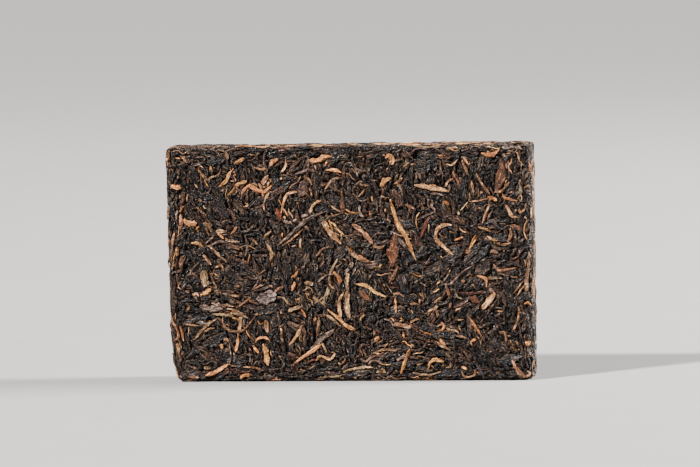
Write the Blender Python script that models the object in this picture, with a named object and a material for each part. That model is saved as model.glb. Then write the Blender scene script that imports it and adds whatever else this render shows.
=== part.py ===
"""A pressed brick of tea leaves that stands on one of its long narrow sides.

The brick is one solid: a core with rounded edges and a gently uneven skin, with the largest leaves,
buds and stalks of that skin fused on at their true size. Lengths are in metres, +Z is up, and the origin
is at the middle of the flat underside. The broad side that is best known faces -Y.
"""

import math
import random
from collections import namedtuple

import bmesh
import bpy
from mathutils import Vector, noise

MM = 0.001

# The brick, measured over its leaves
BRICK_WIDTH = 140 * MM
BRICK_THICKNESS = 23 * MM
BRICK_HEIGHT = 90 * MM
EDGE_RADIUS = 2.4 * MM

# The core lies this far under the tops of the leaves, and its skin rolls by this much
LEAF_RELIEF = 0.9 * MM
SKIN_ROLL = 0.3 * MM
SKIN_ROLL_SPACING = 9 * MM
CORE_CELL = 11 * MM

# The lower left corner has lost some leaves, and the left side leans in a little
WORN_CORNER = 3.2 * MM
WORN_REACH = 7 * MM
LEFT_LEAN = 0.4 * MM

# A leaf is a flattened strip, wider below, with both ends sunk in the core. A large one is flat on top,
# and the small ones between are plain ridges
LEAF_TOP_SHARE = 0.55
LEAF_SUNK = 0.7 * MM
LEAF_TIP_WIDTH = 0.45
LEAF_TIP_DROP = 0.2 * MM
LEAF_HEIGHT_SPREAD = 0.25 * MM
BEND_PER_SEGMENT = 32
LARGE_SEGMENTS = 4
SMALL_SEGMENTS = 3
MOST_SEGMENTS = 7

# Leaves that no one can tell apart are laid by rule
SEED = 14
CANDIDATES = 14
EDGE_BAND = 7 * MM
FACE_MARGIN = 2.8 * MM

TEA_COLOUR = (0.035, 0.026, 0.020, 1.0)
TEA_ROUGHNESS = 0.55

Leaf = namedtuple("Leaf", "x z heading length width bend ridge", defaults=[False])
Face = namedtuple("Face", "centre u v out half_u half_v")

# The largest leaves of the front: place of the middle in mm from the foot's middle, heading in degrees,
# length and width in mm, and the whole bend in degrees
FRONT_LEAVES = [
    Leaf(20, 58, -68, 26, 2.1, 0),
    Leaf(-7, 57, -53, 11, 2.3, 0),
    Leaf(7, 55, -40, 16, 1.9, 10),
    Leaf(-11, 85, 8, 9, 2.3, 15),
    Leaf(-19, 59, 33, 23, 1.9, 0),
    Leaf(-36, 74, 14, 13, 1.5, 50),
    Leaf(-48, 79, 53, 8, 1.5, 20),
    Leaf(-54, 82, 1, 10, 1.4, 110),
    Leaf(32, 74, -11, 13, 2.3, 0),
    Leaf(57, 78, -98, 12, 3.7, 15),
    Leaf(39, 54, -91, 17, 1.5, 170),
    Leaf(49, 78, -52, 17, 1.5, 0),
    Leaf(-1, 33, -89, 17, 3.1, 0),
    Leaf(7, 35, -23, 13, 1.4, -25),
    Leaf(-4, 24, -36, 13, 1.9, 0),
    Leaf(-15, 13, 38, 19, 2.3, 0),
    Leaf(20, 7, 69, 10, 1.5, 0),
    Leaf(-34, 12, -82, 11, 2.7, 0),
    Leaf(-44, 25, -8, 16, 1.2, 150),
    Leaf(-52, 9, -126, 16, 1.2, -60),
    Leaf(-56, 20, 43, 11, 2.3, 0),
    Leaf(59, 44, -13, 9, 3.1, 30),
    Leaf(53, 30, 50, 7, 2.3, 0),
    Leaf(46, 34, -1, 12, 1.9, 0),
    Leaf(41, 43, 8, 17, 1.0, 130),
    Leaf(48, 20, -57, 9, 1.2, 0),
    Leaf(64, 6, -40, 10, 1.9, 120),
    Leaf(66, 40, -93, 14, 1.9, 0),
    Leaf(-3, 75, -92, 14, 1.9, 0),
    Leaf(49, 50, 44, 12, 3.1, 0),
    Leaf(32, 5, 25, 8, 1.5, -110),
    Leaf(-22, 18, 60, 9, 1.5, 15),
    Leaf(-57, 40, -91, 6, 3.5, 0),
    Leaf(-33, 32, -1, 8, 5.4, 0),
    Leaf(-55, 28, -1, 9, 3.5, 0),
    Leaf(-66, 55, -95, 8, 1.5, 0),
]

# How many leaves the rule adds to each side, and the sizes that it draws from, in mm and degrees
FRONT_ADDED = 104
BACK_ADDED = 140
TOP_ADDED = 30
END_ADDED = 18
LENGTH_RANGE = (9, 19)
WIDTH_RANGE = (2.4, 4.6)
BEND_RANGE = (-60, 60)
EDGEWISE_LENGTH_RANGE = (10, 24)
EDGEWISE_WIDTH_RANGE = (1.8, 3.2)
EDGEWISE_BEND_RANGE = (-20, 20)
EDGEWISE_SPREAD = 9


def clear_scene():
    for old in list(bpy.data.objects):
        bpy.data.objects.remove(old)


def new_collection(name):
    made = bpy.data.collections.new(name)
    bpy.context.scene.collection.children.link(made)
    return made


def tea_material():
    """Dark, slightly glossy pressed leaf."""
    material = bpy.data.materials.new("pressed_tea")
    material.use_nodes = True
    shader = material.node_tree.nodes["Principled BSDF"]
    shader.inputs["Base Color"].default_value = TEA_COLOUR
    shader.inputs["Roughness"].default_value = TEA_ROUGHNESS
    shader.inputs["Metallic"].default_value = 0.0
    material.diffuse_color = TEA_COLOUR
    return material


def brick_faces():
    """The sides that carry leaves. Each is a plane through the leaves' tops, with u and v along it."""
    middle = Vector((0, 0, BRICK_HEIGHT / 2))
    x, y, z = Vector((1, 0, 0)), Vector((0, 1, 0)), Vector((0, 0, 1))
    wide, thick, high = BRICK_WIDTH / 2, BRICK_THICKNESS / 2, BRICK_HEIGHT / 2
    return {
        "front": Face(middle - y * thick, x, z, -y, wide, high),
        "back": Face(middle + y * thick, -x, z, y, wide, high),
        "top": Face(middle + z * high, x, y, z, wide, thick),
        "right": Face(middle + x * wide, y, z, x, thick, high),
        "left": Face(middle - x * wide, -y, z, -x, thick, high),
    }


def cut_places(low, high):
    """Where the core is cut along one axis: at the start of each rounded edge, and evenly between."""
    first, last = low + EDGE_RADIUS, high - EDGE_RADIUS
    cells = max(1, round((last - first) / CORE_CELL))
    return [first + (last - first) * i / cells for i in range(cells + 1)]


def rounded(point, low, high):
    """The point moved onto the box whose edges and corners are rounded by the edge radius."""
    inner = Vector(
        min(max(p, a + EDGE_RADIUS), b - EDGE_RADIUS) for p, a, b in zip(point, low, high)
    )
    offset = point - inner
    if offset.length < EDGE_RADIUS:
        return point
    return inner + offset.normalized() * EDGE_RADIUS


def make_core(collection):
    """The block under the leaves: a cube cut into cells, with round edges and a rolling skin."""
    low = Vector((-BRICK_WIDTH / 2, -BRICK_THICKNESS / 2, 0))
    high = Vector((BRICK_WIDTH / 2, BRICK_THICKNESS / 2, BRICK_HEIGHT))
    inset = Vector((LEAF_RELIEF, LEAF_RELIEF, LEAF_RELIEF))
    low, high = low + inset, high - inset
    low.z = 0
    mesh = bpy.data.meshes.new("tea_brick")
    bm = bmesh.new()
    bmesh.ops.create_cube(bm, size=1)
    for vertex in bm.verts:
        share = vertex.co + Vector((0.5, 0.5, 0.5))
        vertex.co = Vector(a + (b - a) * s for a, b, s in zip(low, high, share))
    for axis in range(3):
        normal = Vector(1.0 if i == axis else 0.0 for i in range(3))
        for place in cut_places(low[axis], high[axis]):
            parts = bm.verts[:] + bm.edges[:] + bm.faces[:]
            bmesh.ops.bisect_plane(bm, geom=parts, plane_co=normal * place, plane_no=normal)
    bm.normal_update()
    normals = {vertex: vertex.normal.copy() for vertex in bm.verts}
    for vertex in bm.verts:
        underside = vertex.co.z < low.z + EDGE_RADIUS / 2
        vertex.co = rounded(vertex.co, low, high)
        if not underside:
            roll = noise.noise(vertex.co / SKIN_ROLL_SPACING)
            vertex.co += normals[vertex] * roll * SKIN_ROLL
    bm.to_mesh(mesh)
    bm.free()
    core = bpy.data.objects.new("tea_brick", mesh)
    collection.objects.link(core)
    return core


def leaf_path(leaf):
    """The leaf's middle line and headings: a run whose heading turns evenly through the whole bend."""
    segments = SMALL_SEGMENTS if leaf.ridge else LARGE_SEGMENTS + int(abs(leaf.bend) / BEND_PER_SEGMENT)
    segments = min(segments, MOST_SEGMENTS)
    step = leaf.length * MM / segments
    start = math.radians(leaf.heading - leaf.bend / 2)
    turn = math.radians(leaf.bend) / segments
    points = [Vector((0, 0))]
    for i in range(segments):
        along = start + turn * (i + 0.5)
        points.append(points[-1] + Vector((math.cos(along), math.sin(along))) * step)
    middle = sum(points, Vector((0, 0))) / len(points)
    place = Vector((leaf.x * MM, leaf.z * MM))
    headings = [start + turn * i for i in range(segments + 1)]
    return [point - middle + place for point in points], headings


def leaf_section(share, leaf, top):
    """Half widths and heights of the leaf where it has gone that share of its length."""
    fullness = math.sin(math.pi * share) ** 0.5 if 0 < share < 1 else 0.0
    half = leaf.width * MM / 2 * (LEAF_TIP_WIDTH + (1 - LEAF_TIP_WIDTH) * fullness)
    crown = top - (LEAF_RELIEF + LEAF_TIP_DROP) * (1 - fullness)
    root = -LEAF_RELIEF - LEAF_SUNK - LEAF_TIP_DROP * (1 - fullness)
    if leaf.ridge:
        return [(-half, root), (0, crown), (half, root)]
    flat = half * LEAF_TOP_SHARE
    return [(-half, root), (-flat, crown), (flat, crown), (half, root)]


def make_leaf(name, face, leaf, top, collection):
    """One leaf, lofted through its sections, on the side of the brick that it lies on."""
    path, headings = leaf_path(leaf)
    bm = bmesh.new()
    rings = []
    for i, (point, heading) in enumerate(zip(path, headings)):
        across = Vector((-math.sin(heading), math.cos(heading)))
        ring = []
        for side, height in leaf_section(i / (len(path) - 1), leaf, top):
            flat = point + across * side
            place = face.centre + face.u * flat.x + face.v * flat.y + face.out * height
            ring.append(bm.verts.new(place))
        rings.append(ring)
    for first, second in zip(rings, rings[1:]):
        for i in range(len(first)):
            j = (i + 1) % len(first)
            bm.faces.new((first[i], first[j], second[j], second[i]))
    bm.faces.new(rings[0][::-1])
    bm.faces.new(rings[-1])
    bmesh.ops.recalc_face_normals(bm, faces=bm.faces)
    mesh = bpy.data.meshes.new(name)
    bm.to_mesh(mesh)
    bm.free()
    made = bpy.data.objects.new(name, mesh)
    collection.objects.link(made)
    return made


def fits(path, face):
    """Whether the whole leaf lies on the flat of its side."""
    return all(
        abs(p.x) < face.half_u - FACE_MARGIN and abs(p.y) < face.half_v - FACE_MARGIN for p in path
    )


def nearest(path, laid):
    """Distance from a path to the closest point of the leaves that are already laid."""
    return min(((a - b).length for other in laid for a in path for b in other), default=math.inf)


def drawn_leaf(face, rng):
    """A leaf drawn at random. It runs with an edge that it lies beside, and any way elsewhere."""
    x = rng.uniform(-face.half_u, face.half_u)
    z = rng.uniform(-face.half_v, face.half_v)
    narrow = min(face.half_u, face.half_v) < BRICK_THICKNESS
    beside_end = abs(x) > face.half_u - EDGE_BAND
    beside_long = abs(z) > face.half_v - EDGE_BAND
    if narrow or beside_end or beside_long:
        upright = face.half_v > face.half_u if narrow else beside_end and not beside_long
        heading = (90 if upright else 0) + rng.gauss(0, EDGEWISE_SPREAD)
        sizes = EDGEWISE_LENGTH_RANGE, EDGEWISE_WIDTH_RANGE, EDGEWISE_BEND_RANGE
    else:
        heading = rng.uniform(0, 360)
        sizes = LENGTH_RANGE, WIDTH_RANGE, BEND_RANGE
    length, width, bend = (rng.uniform(*size) for size in sizes)
    return Leaf(x / MM, z / MM, heading, length, width, bend, ridge=True)


def spread_leaves(face, count, laid, rng):
    """Adds leaves one at a time, each where the most room is left among a few random places."""
    added = []
    for _ in range(count):
        tried = [drawn_leaf(face, rng) for _ in range(CANDIDATES)]
        tried = [leaf for leaf in tried if fits(leaf_path(leaf)[0], face)]
        if not tried:
            continue
        best = max(tried, key=lambda leaf: nearest(leaf_path(leaf)[0], laid))
        laid.append(leaf_path(best)[0])
        added.append(best)
    return added


def face_leaves(faces):
    """(side, leaf) for every leaf that shows as relief."""
    rng = random.Random(SEED)
    lift = faces["front"].half_v / MM
    front = [leaf._replace(z=leaf.z - lift) for leaf in FRONT_LEAVES]
    found = [("front", leaf) for leaf in front]
    added = {
        "front": FRONT_ADDED,
        "back": BACK_ADDED,
        "top": TOP_ADDED,
        "right": END_ADDED,
        "left": END_ADDED,
    }
    for side, count in added.items():
        laid = [leaf_path(leaf)[0] for leaf in front] if side == "front" else []
        found += [(side, leaf) for leaf in spread_leaves(faces[side], count, laid, rng)]
    return found


def make_leaves(collection):
    faces = brick_faces()
    rng = random.Random(SEED)
    for i, (side, leaf) in enumerate(face_leaves(faces)):
        top = -rng.uniform(0, LEAF_HEIGHT_SPREAD)
        make_leaf(f"{side}_leaf_{i:03d}", faces[side], leaf, top, collection)


def keep_outer_shell(mesh):
    """Drops loose scraps, and the walls of any hollow that fusing has sealed."""
    bm = bmesh.new()
    bm.from_mesh(mesh)
    bm.verts.ensure_lookup_table()
    unseen = set(bm.verts)
    shells = []
    while unseen:
        shell, edge = set(), [unseen.pop()]
        while edge:
            vertex = edge.pop()
            shell.add(vertex)
            for link in vertex.link_edges:
                other = link.other_vert(vertex)
                if other in unseen:
                    unseen.remove(other)
                    edge.append(other)
        shells.append(shell)
    outer = max(shells, key=len)
    spare = [vertex for shell in shells if shell is not outer for vertex in shell]
    bmesh.ops.delete(bm, geom=spare, context="VERTS")
    bm.to_mesh(mesh)
    bm.free()


def fuse(core, leaves):
    """One Boolean union of the core and all its leaves, applied, with the leaves then removed."""
    union = core.modifiers.new("fuse_leaves", "BOOLEAN")
    union.operation = "UNION"
    union.operand_type = "COLLECTION"
    union.collection = leaves
    union.solver = "MANIFOLD"
    bpy.context.view_layer.update()
    fused = bpy.data.meshes.new_from_object(core.evaluated_get(bpy.context.evaluated_depsgraph_get()))
    core.modifiers.clear()
    core.data = fused
    fused.name = core.name
    for leaf in list(leaves.objects):
        bpy.data.objects.remove(leaf)
    bpy.data.collections.remove(leaves)
    keep_outer_shell(fused)


def wear_outline(mesh):
    """Leans the left side in, and wears its lower corner away."""
    for vertex in mesh.vertices:
        left = max(0.0, -vertex.co.x / (BRICK_WIDTH / 2))
        lean = LEFT_LEAN * (1 - vertex.co.z / BRICK_HEIGHT)
        worn = WORN_CORNER * math.exp(-vertex.co.z / WORN_REACH)
        vertex.co.x += (lean + worn) * left**3


def build():
    clear_scene()
    model = new_collection("tea_brick_model")
    leaves = new_collection("leaves")
    core = make_core(model)
    make_leaves(leaves)
    fuse(core, leaves)
    wear_outline(core.data)
    core.data.materials.clear()
    core.data.materials.append(tea_material())


build()
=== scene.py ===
"""The looks of a pressed brick of tea: thousands of dry leaves, buds and stalks, pressed flat in a mould.

Every leaf is real mesh. Leaves are laid one by one into a mould, from its wall inwards: each lies as close
under the wall as the leaves laid before it allow, and so it bends under them as pressed leaves do. The
largest leaves and buds of the front are laid first, where the photograph shows them, and a rule with a fixed
seed fills in between. Sizes are in millimetres, and meshes are written in metres.
"""

import logging
import math
from dataclasses import dataclass, field, replace
from enum import Enum
from typing import Iterable, Sequence

import bpy
import numpy as np
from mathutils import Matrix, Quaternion, Vector


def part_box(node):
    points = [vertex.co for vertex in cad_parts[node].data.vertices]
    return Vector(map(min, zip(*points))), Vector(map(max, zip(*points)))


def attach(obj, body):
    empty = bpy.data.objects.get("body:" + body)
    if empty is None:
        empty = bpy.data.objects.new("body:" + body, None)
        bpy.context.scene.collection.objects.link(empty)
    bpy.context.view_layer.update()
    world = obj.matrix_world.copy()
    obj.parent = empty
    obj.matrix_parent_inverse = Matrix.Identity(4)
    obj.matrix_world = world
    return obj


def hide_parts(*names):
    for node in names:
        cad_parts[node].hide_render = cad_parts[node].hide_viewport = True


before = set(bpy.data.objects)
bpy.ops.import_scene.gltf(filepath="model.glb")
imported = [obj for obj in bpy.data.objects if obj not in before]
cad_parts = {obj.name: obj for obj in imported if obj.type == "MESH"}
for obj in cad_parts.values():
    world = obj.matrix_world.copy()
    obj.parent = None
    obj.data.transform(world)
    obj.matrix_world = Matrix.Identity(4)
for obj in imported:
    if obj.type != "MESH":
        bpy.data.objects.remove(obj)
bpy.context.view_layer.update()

MM = 0.001
TINY = 1e-9
NODE = "tea_brick"
BODY = "root"
log = logging.getLogger("tea_brick")

Numbers = np.ndarray
Pair = tuple[float, float]
Colour = tuple[float, float, float]


class Side(Enum):
    """The six sides of the brick."""

    FRONT = "front"
    BACK = "back"
    TOP = "top"
    BOTTOM = "bottom"
    RIGHT = "right"
    LEFT = "left"


class Kind(Enum):
    """What a pressed piece is, which sets its form and its finish."""

    WIDE = "wide_leaves"
    TWISTED = "twisted_leaves"
    BIT = "leaf_bits"
    STRAND = "leaf_strands"
    BUD = "buds"
    FLAKE = "red_flakes"


class Tint(Enum):
    """Colours of dry tea, as linear red, green and blue."""

    BLACK = (0.0038, 0.0028, 0.0029)
    SLATE = (0.0060, 0.0056, 0.0070)
    DARK = (0.0100, 0.0056, 0.0043)
    BROWN = (0.034, 0.0165, 0.0105)
    RUST = (0.078, 0.031, 0.014)
    RED = (0.110, 0.024, 0.009)
    OLIVE = (0.260, 0.165, 0.082)
    GREY = (0.120, 0.083, 0.063)
    # LILAC is a light grey-lilac that partly paints a glossy flake's sheen into its colour
    LILAC = (0.150, 0.108, 0.097)
    TAN = (0.250, 0.138, 0.068)
    PINK = (0.390, 0.205, 0.110)
    PEACH = (0.900, 0.425, 0.155)
    ORANGE = (0.600, 0.252, 0.083)
    GOLD = (0.580, 0.290, 0.092)
    PALE = (0.600, 0.345, 0.155)
    YELLOW = (0.950, 0.560, 0.190)


# The width and height of the photograph, in pixels
FRAME = (700, 467)

# The edges of the brick, how deep leaves keep their curve there, and how far round them the front is seen
EDGE_RADIUS = 2.2
LEAST_RADIUS = 0.1
FURTHEST_ROUND = 0.95

# The wear of its left side, in mm: how far its foot leans in, and how far and how high the corner is worn.
# The wear fades towards the middle by this power
LEFT_LEAN = 0.4
WORN_CORNER = 3.2
WORN_REACH = 7.0
WEAR_POWER = 3


@dataclass(frozen=True)
class Panel:
    """One side as a flat sheet, with u and v in mm from its middle."""

    middle: Sequence[float]
    u_axis: Sequence[float]
    v_axis: Sequence[float]
    out: Sequence[float]
    half_u: float
    half_v: float


@dataclass
class BrickForm:
    """The outer form that the leaves are pressed to, in mm, taken from the CAD solid."""

    low: Numbers
    high: Numbers
    edge_radius: float = EDGE_RADIUS

    @property
    def middle(self) -> Numbers:
        """The middle of the brick."""
        return (self.low + self.high) / 2

    @property
    def half(self) -> Numbers:
        """Half of the brick's width, thickness and height."""
        return (self.high - self.low) / 2

    def panel(self, side: Side) -> Panel:
        """One side as a sheet.

        Args:
            side: Which side.

        Returns:
            The sheet, whose u, v and outward axes are right-handed.
        """
        wide, thick, high = self.half
        x, y, z = np.eye(3)
        axes = {
            Side.FRONT: (x, z, -y, wide, high, thick),
            Side.BACK: (-x, z, y, wide, high, thick),
            Side.TOP: (x, y, z, wide, thick, high),
            Side.BOTTOM: (x, -y, -z, wide, thick, high),
            Side.RIGHT: (y, z, x, thick, high, wide),
            Side.LEFT: (-y, z, -x, thick, high, wide),
        }
        u_axis, v_axis, out, half_u, half_v, reach = axes[side]
        return Panel(self.middle + out * reach, u_axis, v_axis, out, half_u, half_v)

    def place(self, panel: Panel, u: Numbers, v: Numbers, depth: Numbers) -> Numbers:
        """Points in space. Past the flat of a side, u and v run on round the brick's edge.

        Args:
            panel: The side.
            u: Distances along the sheet from its middle.
            v: Distances up the sheet from its middle.
            depth: Depths under the pressed face.

        Returns:
            One row of x, y and z for each point.
        """
        radius = self.edge_radius
        over_u = u - np.clip(u, radius - panel.half_u, panel.half_u - radius)
        over_v = v - np.clip(v, radius - panel.half_v, panel.half_v - radius)
        over = np.hypot(over_u, over_v)
        share = 1 / np.maximum(over, TINY)
        turn = np.minimum(over / radius, math.pi / 2)
        reach = np.maximum(radius - depth, LEAST_RADIUS) * np.sin(turn)
        height = (radius - depth) * np.cos(turn) - radius
        height -= np.maximum(over - radius * math.pi / 2, 0)
        along_u = u - over_u + over_u * share * reach
        along_v = v - over_v + over_v * share * reach
        points = np.array(panel.middle) + along_u[:, None] * panel.u_axis
        points = points + along_v[:, None] * panel.v_axis + height[:, None] * panel.out
        points[:, 2] = np.maximum(points[:, 2], self.low[2])
        return self.worn(points)

    def wear(self, x: Numbers, z: Numbers) -> Numbers:
        """How far the left side has moved in at those places."""
        left = np.maximum(0.0, -x / self.half[0]) ** WEAR_POWER
        lean = LEFT_LEAN * (1 - z / self.high[2])
        return left * (lean + WORN_CORNER * np.exp(-z / WORN_REACH))

    def worn(self, points: Numbers) -> Numbers:
        """The points with the wear of the left side."""
        moved = points.copy()
        moved[:, 0] += self.wear(points[:, 0], points[:, 2])
        return moved

    def front_place(self, x: float, z: float) -> Pair:
        """Where a point of the front, seen straight on, lies on the front's sheet."""
        x -= float(self.wear(np.array(x), np.array(max(z, 0.0)))) + self.middle[0]
        return self.round_edge(x, self.half[0]), self.round_edge(z - self.half[2], self.half[2])

    def round_edge(self, place: float, half: float) -> float:
        """The distance along the sheet of a place that is seen straight on."""
        flat = half - self.edge_radius
        if abs(place) <= flat:
            return place
        share = min((abs(place) - flat) / self.edge_radius, FURTHEST_ROUND)
        return math.copysign(flat + self.edge_radius * math.asin(share), place)


class SmoothField:
    """Random values on a coarse grid, read smoothly in between."""

    def __init__(self, spacing: float, reach: Pair, rng: np.random.Generator) -> None:
        """Draws the grid.

        Args:
            spacing: Distance between grid points.
            reach: Half of the width and height to cover.
            rng: Where the values come from.
        """
        self.spacing = spacing
        self.start = -np.array(reach)
        counts = np.ceil(2 * np.array(reach) / spacing).astype(int) + 3
        self.values = rng.uniform(-1, 1, counts)

    def at(self, u: Numbers, v: Numbers) -> Numbers:
        """The field's values at these places, from -1 to 1."""
        last = np.array(self.values.shape) - 2
        x = np.clip((u - self.start[0]) / self.spacing, 0, last[0])
        y = np.clip((v - self.start[1]) / self.spacing, 0, last[1])
        i, j = x.astype(int), y.astype(int)
        a, b = x - i, y - j
        a, b = a * a * (3 - 2 * a), b * b * (3 - 2 * b)
        low = self.values[i, j] * (1 - a) + self.values[i + 1, j] * a
        high = self.values[i, j + 1] * (1 - a) + self.values[i + 1, j + 1] * a
        return low * (1 - b) + high * b


@dataclass(frozen=True)
class LeafForm:
    """The sizes that leaves of one kind are drawn from, in mm and degrees.

    Each pair is a range. The ridges run along a leaf, and wind round it by the twist, in turns a mm.
    The crumple is how far its face is pushed in here and there, and torn is how uneven its edges are, as
    a share of its half width.
    """

    length: Pair
    width: Pair
    thickness: Pair
    bend: float
    wiggle: float
    columns: int
    step: float
    ridges: Pair
    ridge_depth: float
    crumple: float
    twist: float
    tilt: float
    tip: Pair
    torn: float = 0.18


FORMS = {
    Kind.WIDE: LeafForm(
        length=(6, 14), width=(2.4, 4.8), thickness=(0.40, 0.60), bend=30, wiggle=14, columns=11, step=0.70,
        ridges=(4.0, 7.0), ridge_depth=0.20, crumple=0.22, twist=0.05, tilt=9, tip=(0.12, 0.38),
    ),
    Kind.TWISTED: LeafForm(
        length=(5, 15), width=(0.9, 1.9), thickness=(0.50, 0.80), bend=45, wiggle=20, columns=7, step=0.75,
        ridges=(1.5, 3.0), ridge_depth=0.26, crumple=0.20, twist=0.14, tilt=24, tip=(0.05, 0.35),
    ),
    Kind.BIT: LeafForm(
        length=(1.5, 5.5), width=(0.5, 1.2), thickness=(0.32, 0.60), bend=50, wiggle=22, columns=5, step=0.65,
        ridges=(0.8, 1.8), ridge_depth=0.17, crumple=0.14, twist=0.18, tilt=30, tip=(0.04, 0.30),
    ),
    Kind.STRAND: LeafForm(
        length=(2, 8), width=(0.30, 0.55), thickness=(0.30, 0.42), bend=50, wiggle=22, columns=3, step=0.65,
        ridges=(0.5, 1.0), ridge_depth=0.05, crumple=0.04, twist=0.10, tilt=10, tip=(0.05, 0.30),
    ),
    Kind.BUD: LeafForm(
        length=(3, 11), width=(0.7, 1.7), thickness=(0.50, 0.85), bend=34, wiggle=16, columns=9, step=0.55,
        ridges=(1.6, 3.0), ridge_depth=0.36, crumple=0.12, twist=0.09, tilt=16, tip=(0.08, 0.42), torn=0.09,
    ),
    Kind.FLAKE: LeafForm(
        length=(5, 11), width=(1.6, 3.6), thickness=(0.40, 0.60), bend=24, wiggle=10, columns=9, step=0.60,
        ridges=(2.0, 4.0), ridge_depth=0.18, crumple=0.14, twist=0.04, tilt=10, tip=(0.25, 0.50), torn=0.07,
    ),
}

# How often a leaf of each kind has each colour
MIXES = {
    Kind.WIDE: {Tint.BLACK: 4, Tint.SLATE: 2.4, Tint.DARK: 4, Tint.BROWN: 1.8, Tint.RUST: 0.3},
    Kind.TWISTED: {
        Tint.BLACK: 5.0, Tint.SLATE: 1.8, Tint.DARK: 4.5, Tint.BROWN: 2.6, Tint.OLIVE: 0.4, Tint.GREY: 0.4,
        Tint.RUST: 0.5, Tint.TAN: 0.2,
    },
    Kind.BIT: {
        Tint.BLACK: 5.0, Tint.SLATE: 1.8, Tint.DARK: 4.5, Tint.BROWN: 3.0, Tint.OLIVE: 0.35, Tint.GREY: 0.5,
        Tint.RUST: 0.5, Tint.TAN: 0.55, Tint.PINK: 0.2, Tint.GOLD: 0.2, Tint.ORANGE: 0.1, Tint.PALE: 0.15,
    },
    Kind.STRAND: {
        Tint.DARK: 3.0, Tint.BROWN: 4.0, Tint.OLIVE: 0.8, Tint.GREY: 1.0, Tint.RUST: 0.8, Tint.TAN: 1.2,
        Tint.PINK: 0.3, Tint.GOLD: 0.5, Tint.PALE: 0.3,
    },
    Kind.BUD: {
        Tint.TAN: 3.0, Tint.GOLD: 2.5, Tint.PEACH: 1.6, Tint.PINK: 1.2, Tint.OLIVE: 1.6, Tint.GREY: 1.4,
        Tint.ORANGE: 1.0, Tint.PALE: 0.5, Tint.YELLOW: 0.3,
    },
    Kind.FLAKE: {Tint.RED: 1.0, Tint.RUST: 3.0},
}

# How much the colours of single leaves vary in lightness and in warmth, and their brightest
TINT_SPREAD = 0.28
WARM_SPREAD = 0.10
BLUE_SHARE = -0.3
BRIGHTEST = 0.9


# The back of a leaf is a dome, this share of its thickness high, and its ridges are sharper above 1. Its
# underside lies this share of the thickness under its edges
DOME = 0.85
DOME_REACH = 0.97
RIDGE_SHARPNESS = 1.4
UNDERSIDE = 0.22


@dataclass
class Leaf:
    """One piece as it lies on a sheet, in rings along its middle line.

    Ridges are how many it has side by side, and the phase shifts them. The tilt is how steeply each ring
    leans to one side.
    """

    kind: Kind
    tint: Colour
    line: Numbers
    half_width: Numbers
    thickness: float
    ridges: float
    twist: float
    phase: float
    tilt: Numbers
    along: Numbers = field(init=False)
    normal: Numbers = field(init=False)

    def __post_init__(self) -> None:
        """Works out the distances along the line, and its normals."""
        steps = np.linalg.norm(np.diff(self.line, axis=0), axis=1)
        self.along = np.concatenate([[0.0], np.cumsum(steps)])
        slope = np.gradient(self.line, axis=0)
        slope /= np.maximum(np.linalg.norm(slope, axis=1, keepdims=True), TINY)
        self.normal = np.stack([-slope[:, 1], slope[:, 0]], 1)

    def finer(self, step: float) -> "Leaf":
        """The same leaf with a ring at least every step."""
        count = max(FEWEST_READ, int(self.along[-1] / step) + 1)
        at = np.linspace(0, self.along[-1], count)

        def read(values: Numbers) -> Numbers:
            return np.interp(at, self.along, values)

        line = np.stack([read(self.line[:, 0]), read(self.line[:, 1])], 1)
        half, tilt = read(self.half_width), read(self.tilt)
        return replace(self, line=line, half_width=half, tilt=tilt)

    def spread(self, across: Numbers) -> tuple[Numbers, Numbers]:
        """The u and v of the points at those shares of the half width, from -1 to 1, on every ring."""
        side = self.half_width[:, None] * across[None, :]
        u = self.line[:, :1] + side * self.normal[:, :1]
        v = self.line[:, 1:] + side * self.normal[:, 1:]
        return u, v

    def fullness(self) -> Numbers:
        """How full each ring is, from 0 at a tip to 1."""
        return (self.half_width / self.half_width.max())[:, None]

    def lean(self, across: Numbers) -> Numbers:
        """How far the tilt sinks each point under the higher edge."""
        side = self.tilt[:, None] * self.half_width[:, None]
        return side * across[None, :] + np.abs(side)

    def top(self, across: Numbers) -> Numbers:
        """Depth of the leaf's face under its highest line: its round back, ridges and tilt."""
        full = self.fullness()
        dome = self.thickness * DOME * full * (1 - np.sqrt(1 - (DOME_REACH * across[None, :]) ** 2))
        turn = self.ridges * (across[None, :] + 1) / 2 + self.twist * self.along[:, None] + self.phase
        ridge = FORMS[self.kind].ridge_depth * full * (1 - np.abs(np.sin(math.pi * turn))) ** RIDGE_SHARPNESS
        return dome + ridge + self.lean(across)

    def under(self, across: Numbers) -> Numbers:
        """Depth of the leaf's underside under its highest line."""
        return self.thickness * (UNDERSIDE + DOME * self.fullness()) + self.lean(across)


def drawn_tint(kind: Kind, rng: np.random.Generator) -> Colour:
    """A colour for a leaf of that kind."""
    mix = MIXES[kind]
    weights = np.array(list(mix.values()))
    tint = list(mix)[rng.choice(len(weights), p=weights / weights.sum())]
    return varied(tint, rng)


def varied(tint: Tint, rng: np.random.Generator) -> Colour:
    """The colour, a little lighter or darker and warmer or cooler."""
    value = np.array(tint.value) * math.exp(rng.normal(0, TINT_SPREAD))
    warm = rng.normal(0, WARM_SPREAD)
    return tuple(np.clip(value * np.exp([warm, 0, BLUE_SHARE * warm]), 0, BRIGHTEST))


# A leaf's outline: how narrow and how round its tips are, and how its width wavers along it
TIP_WIDTH = 0.3
TIP_ROUND = 0.6
WIDTH_WOBBLE = 0.18

# A leaf has at least this many rings, as it is laid and when it is read finely
FEWEST_RINGS = 4
FEWEST_READ = 3

# How many waves its width, its bends and its tilt make over its length
WIDTH_WAVES = (1.0, 3.0)
BEND_WAVES = (0.8, 1.6)
TILT_WAVES = (0.2, 0.9)

# A narrow leaf is thinner too: this share of its form's thickness, and more for each mm of width
THIN_SHARE = 0.5
THICKER_A_MM = 0.35


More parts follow.
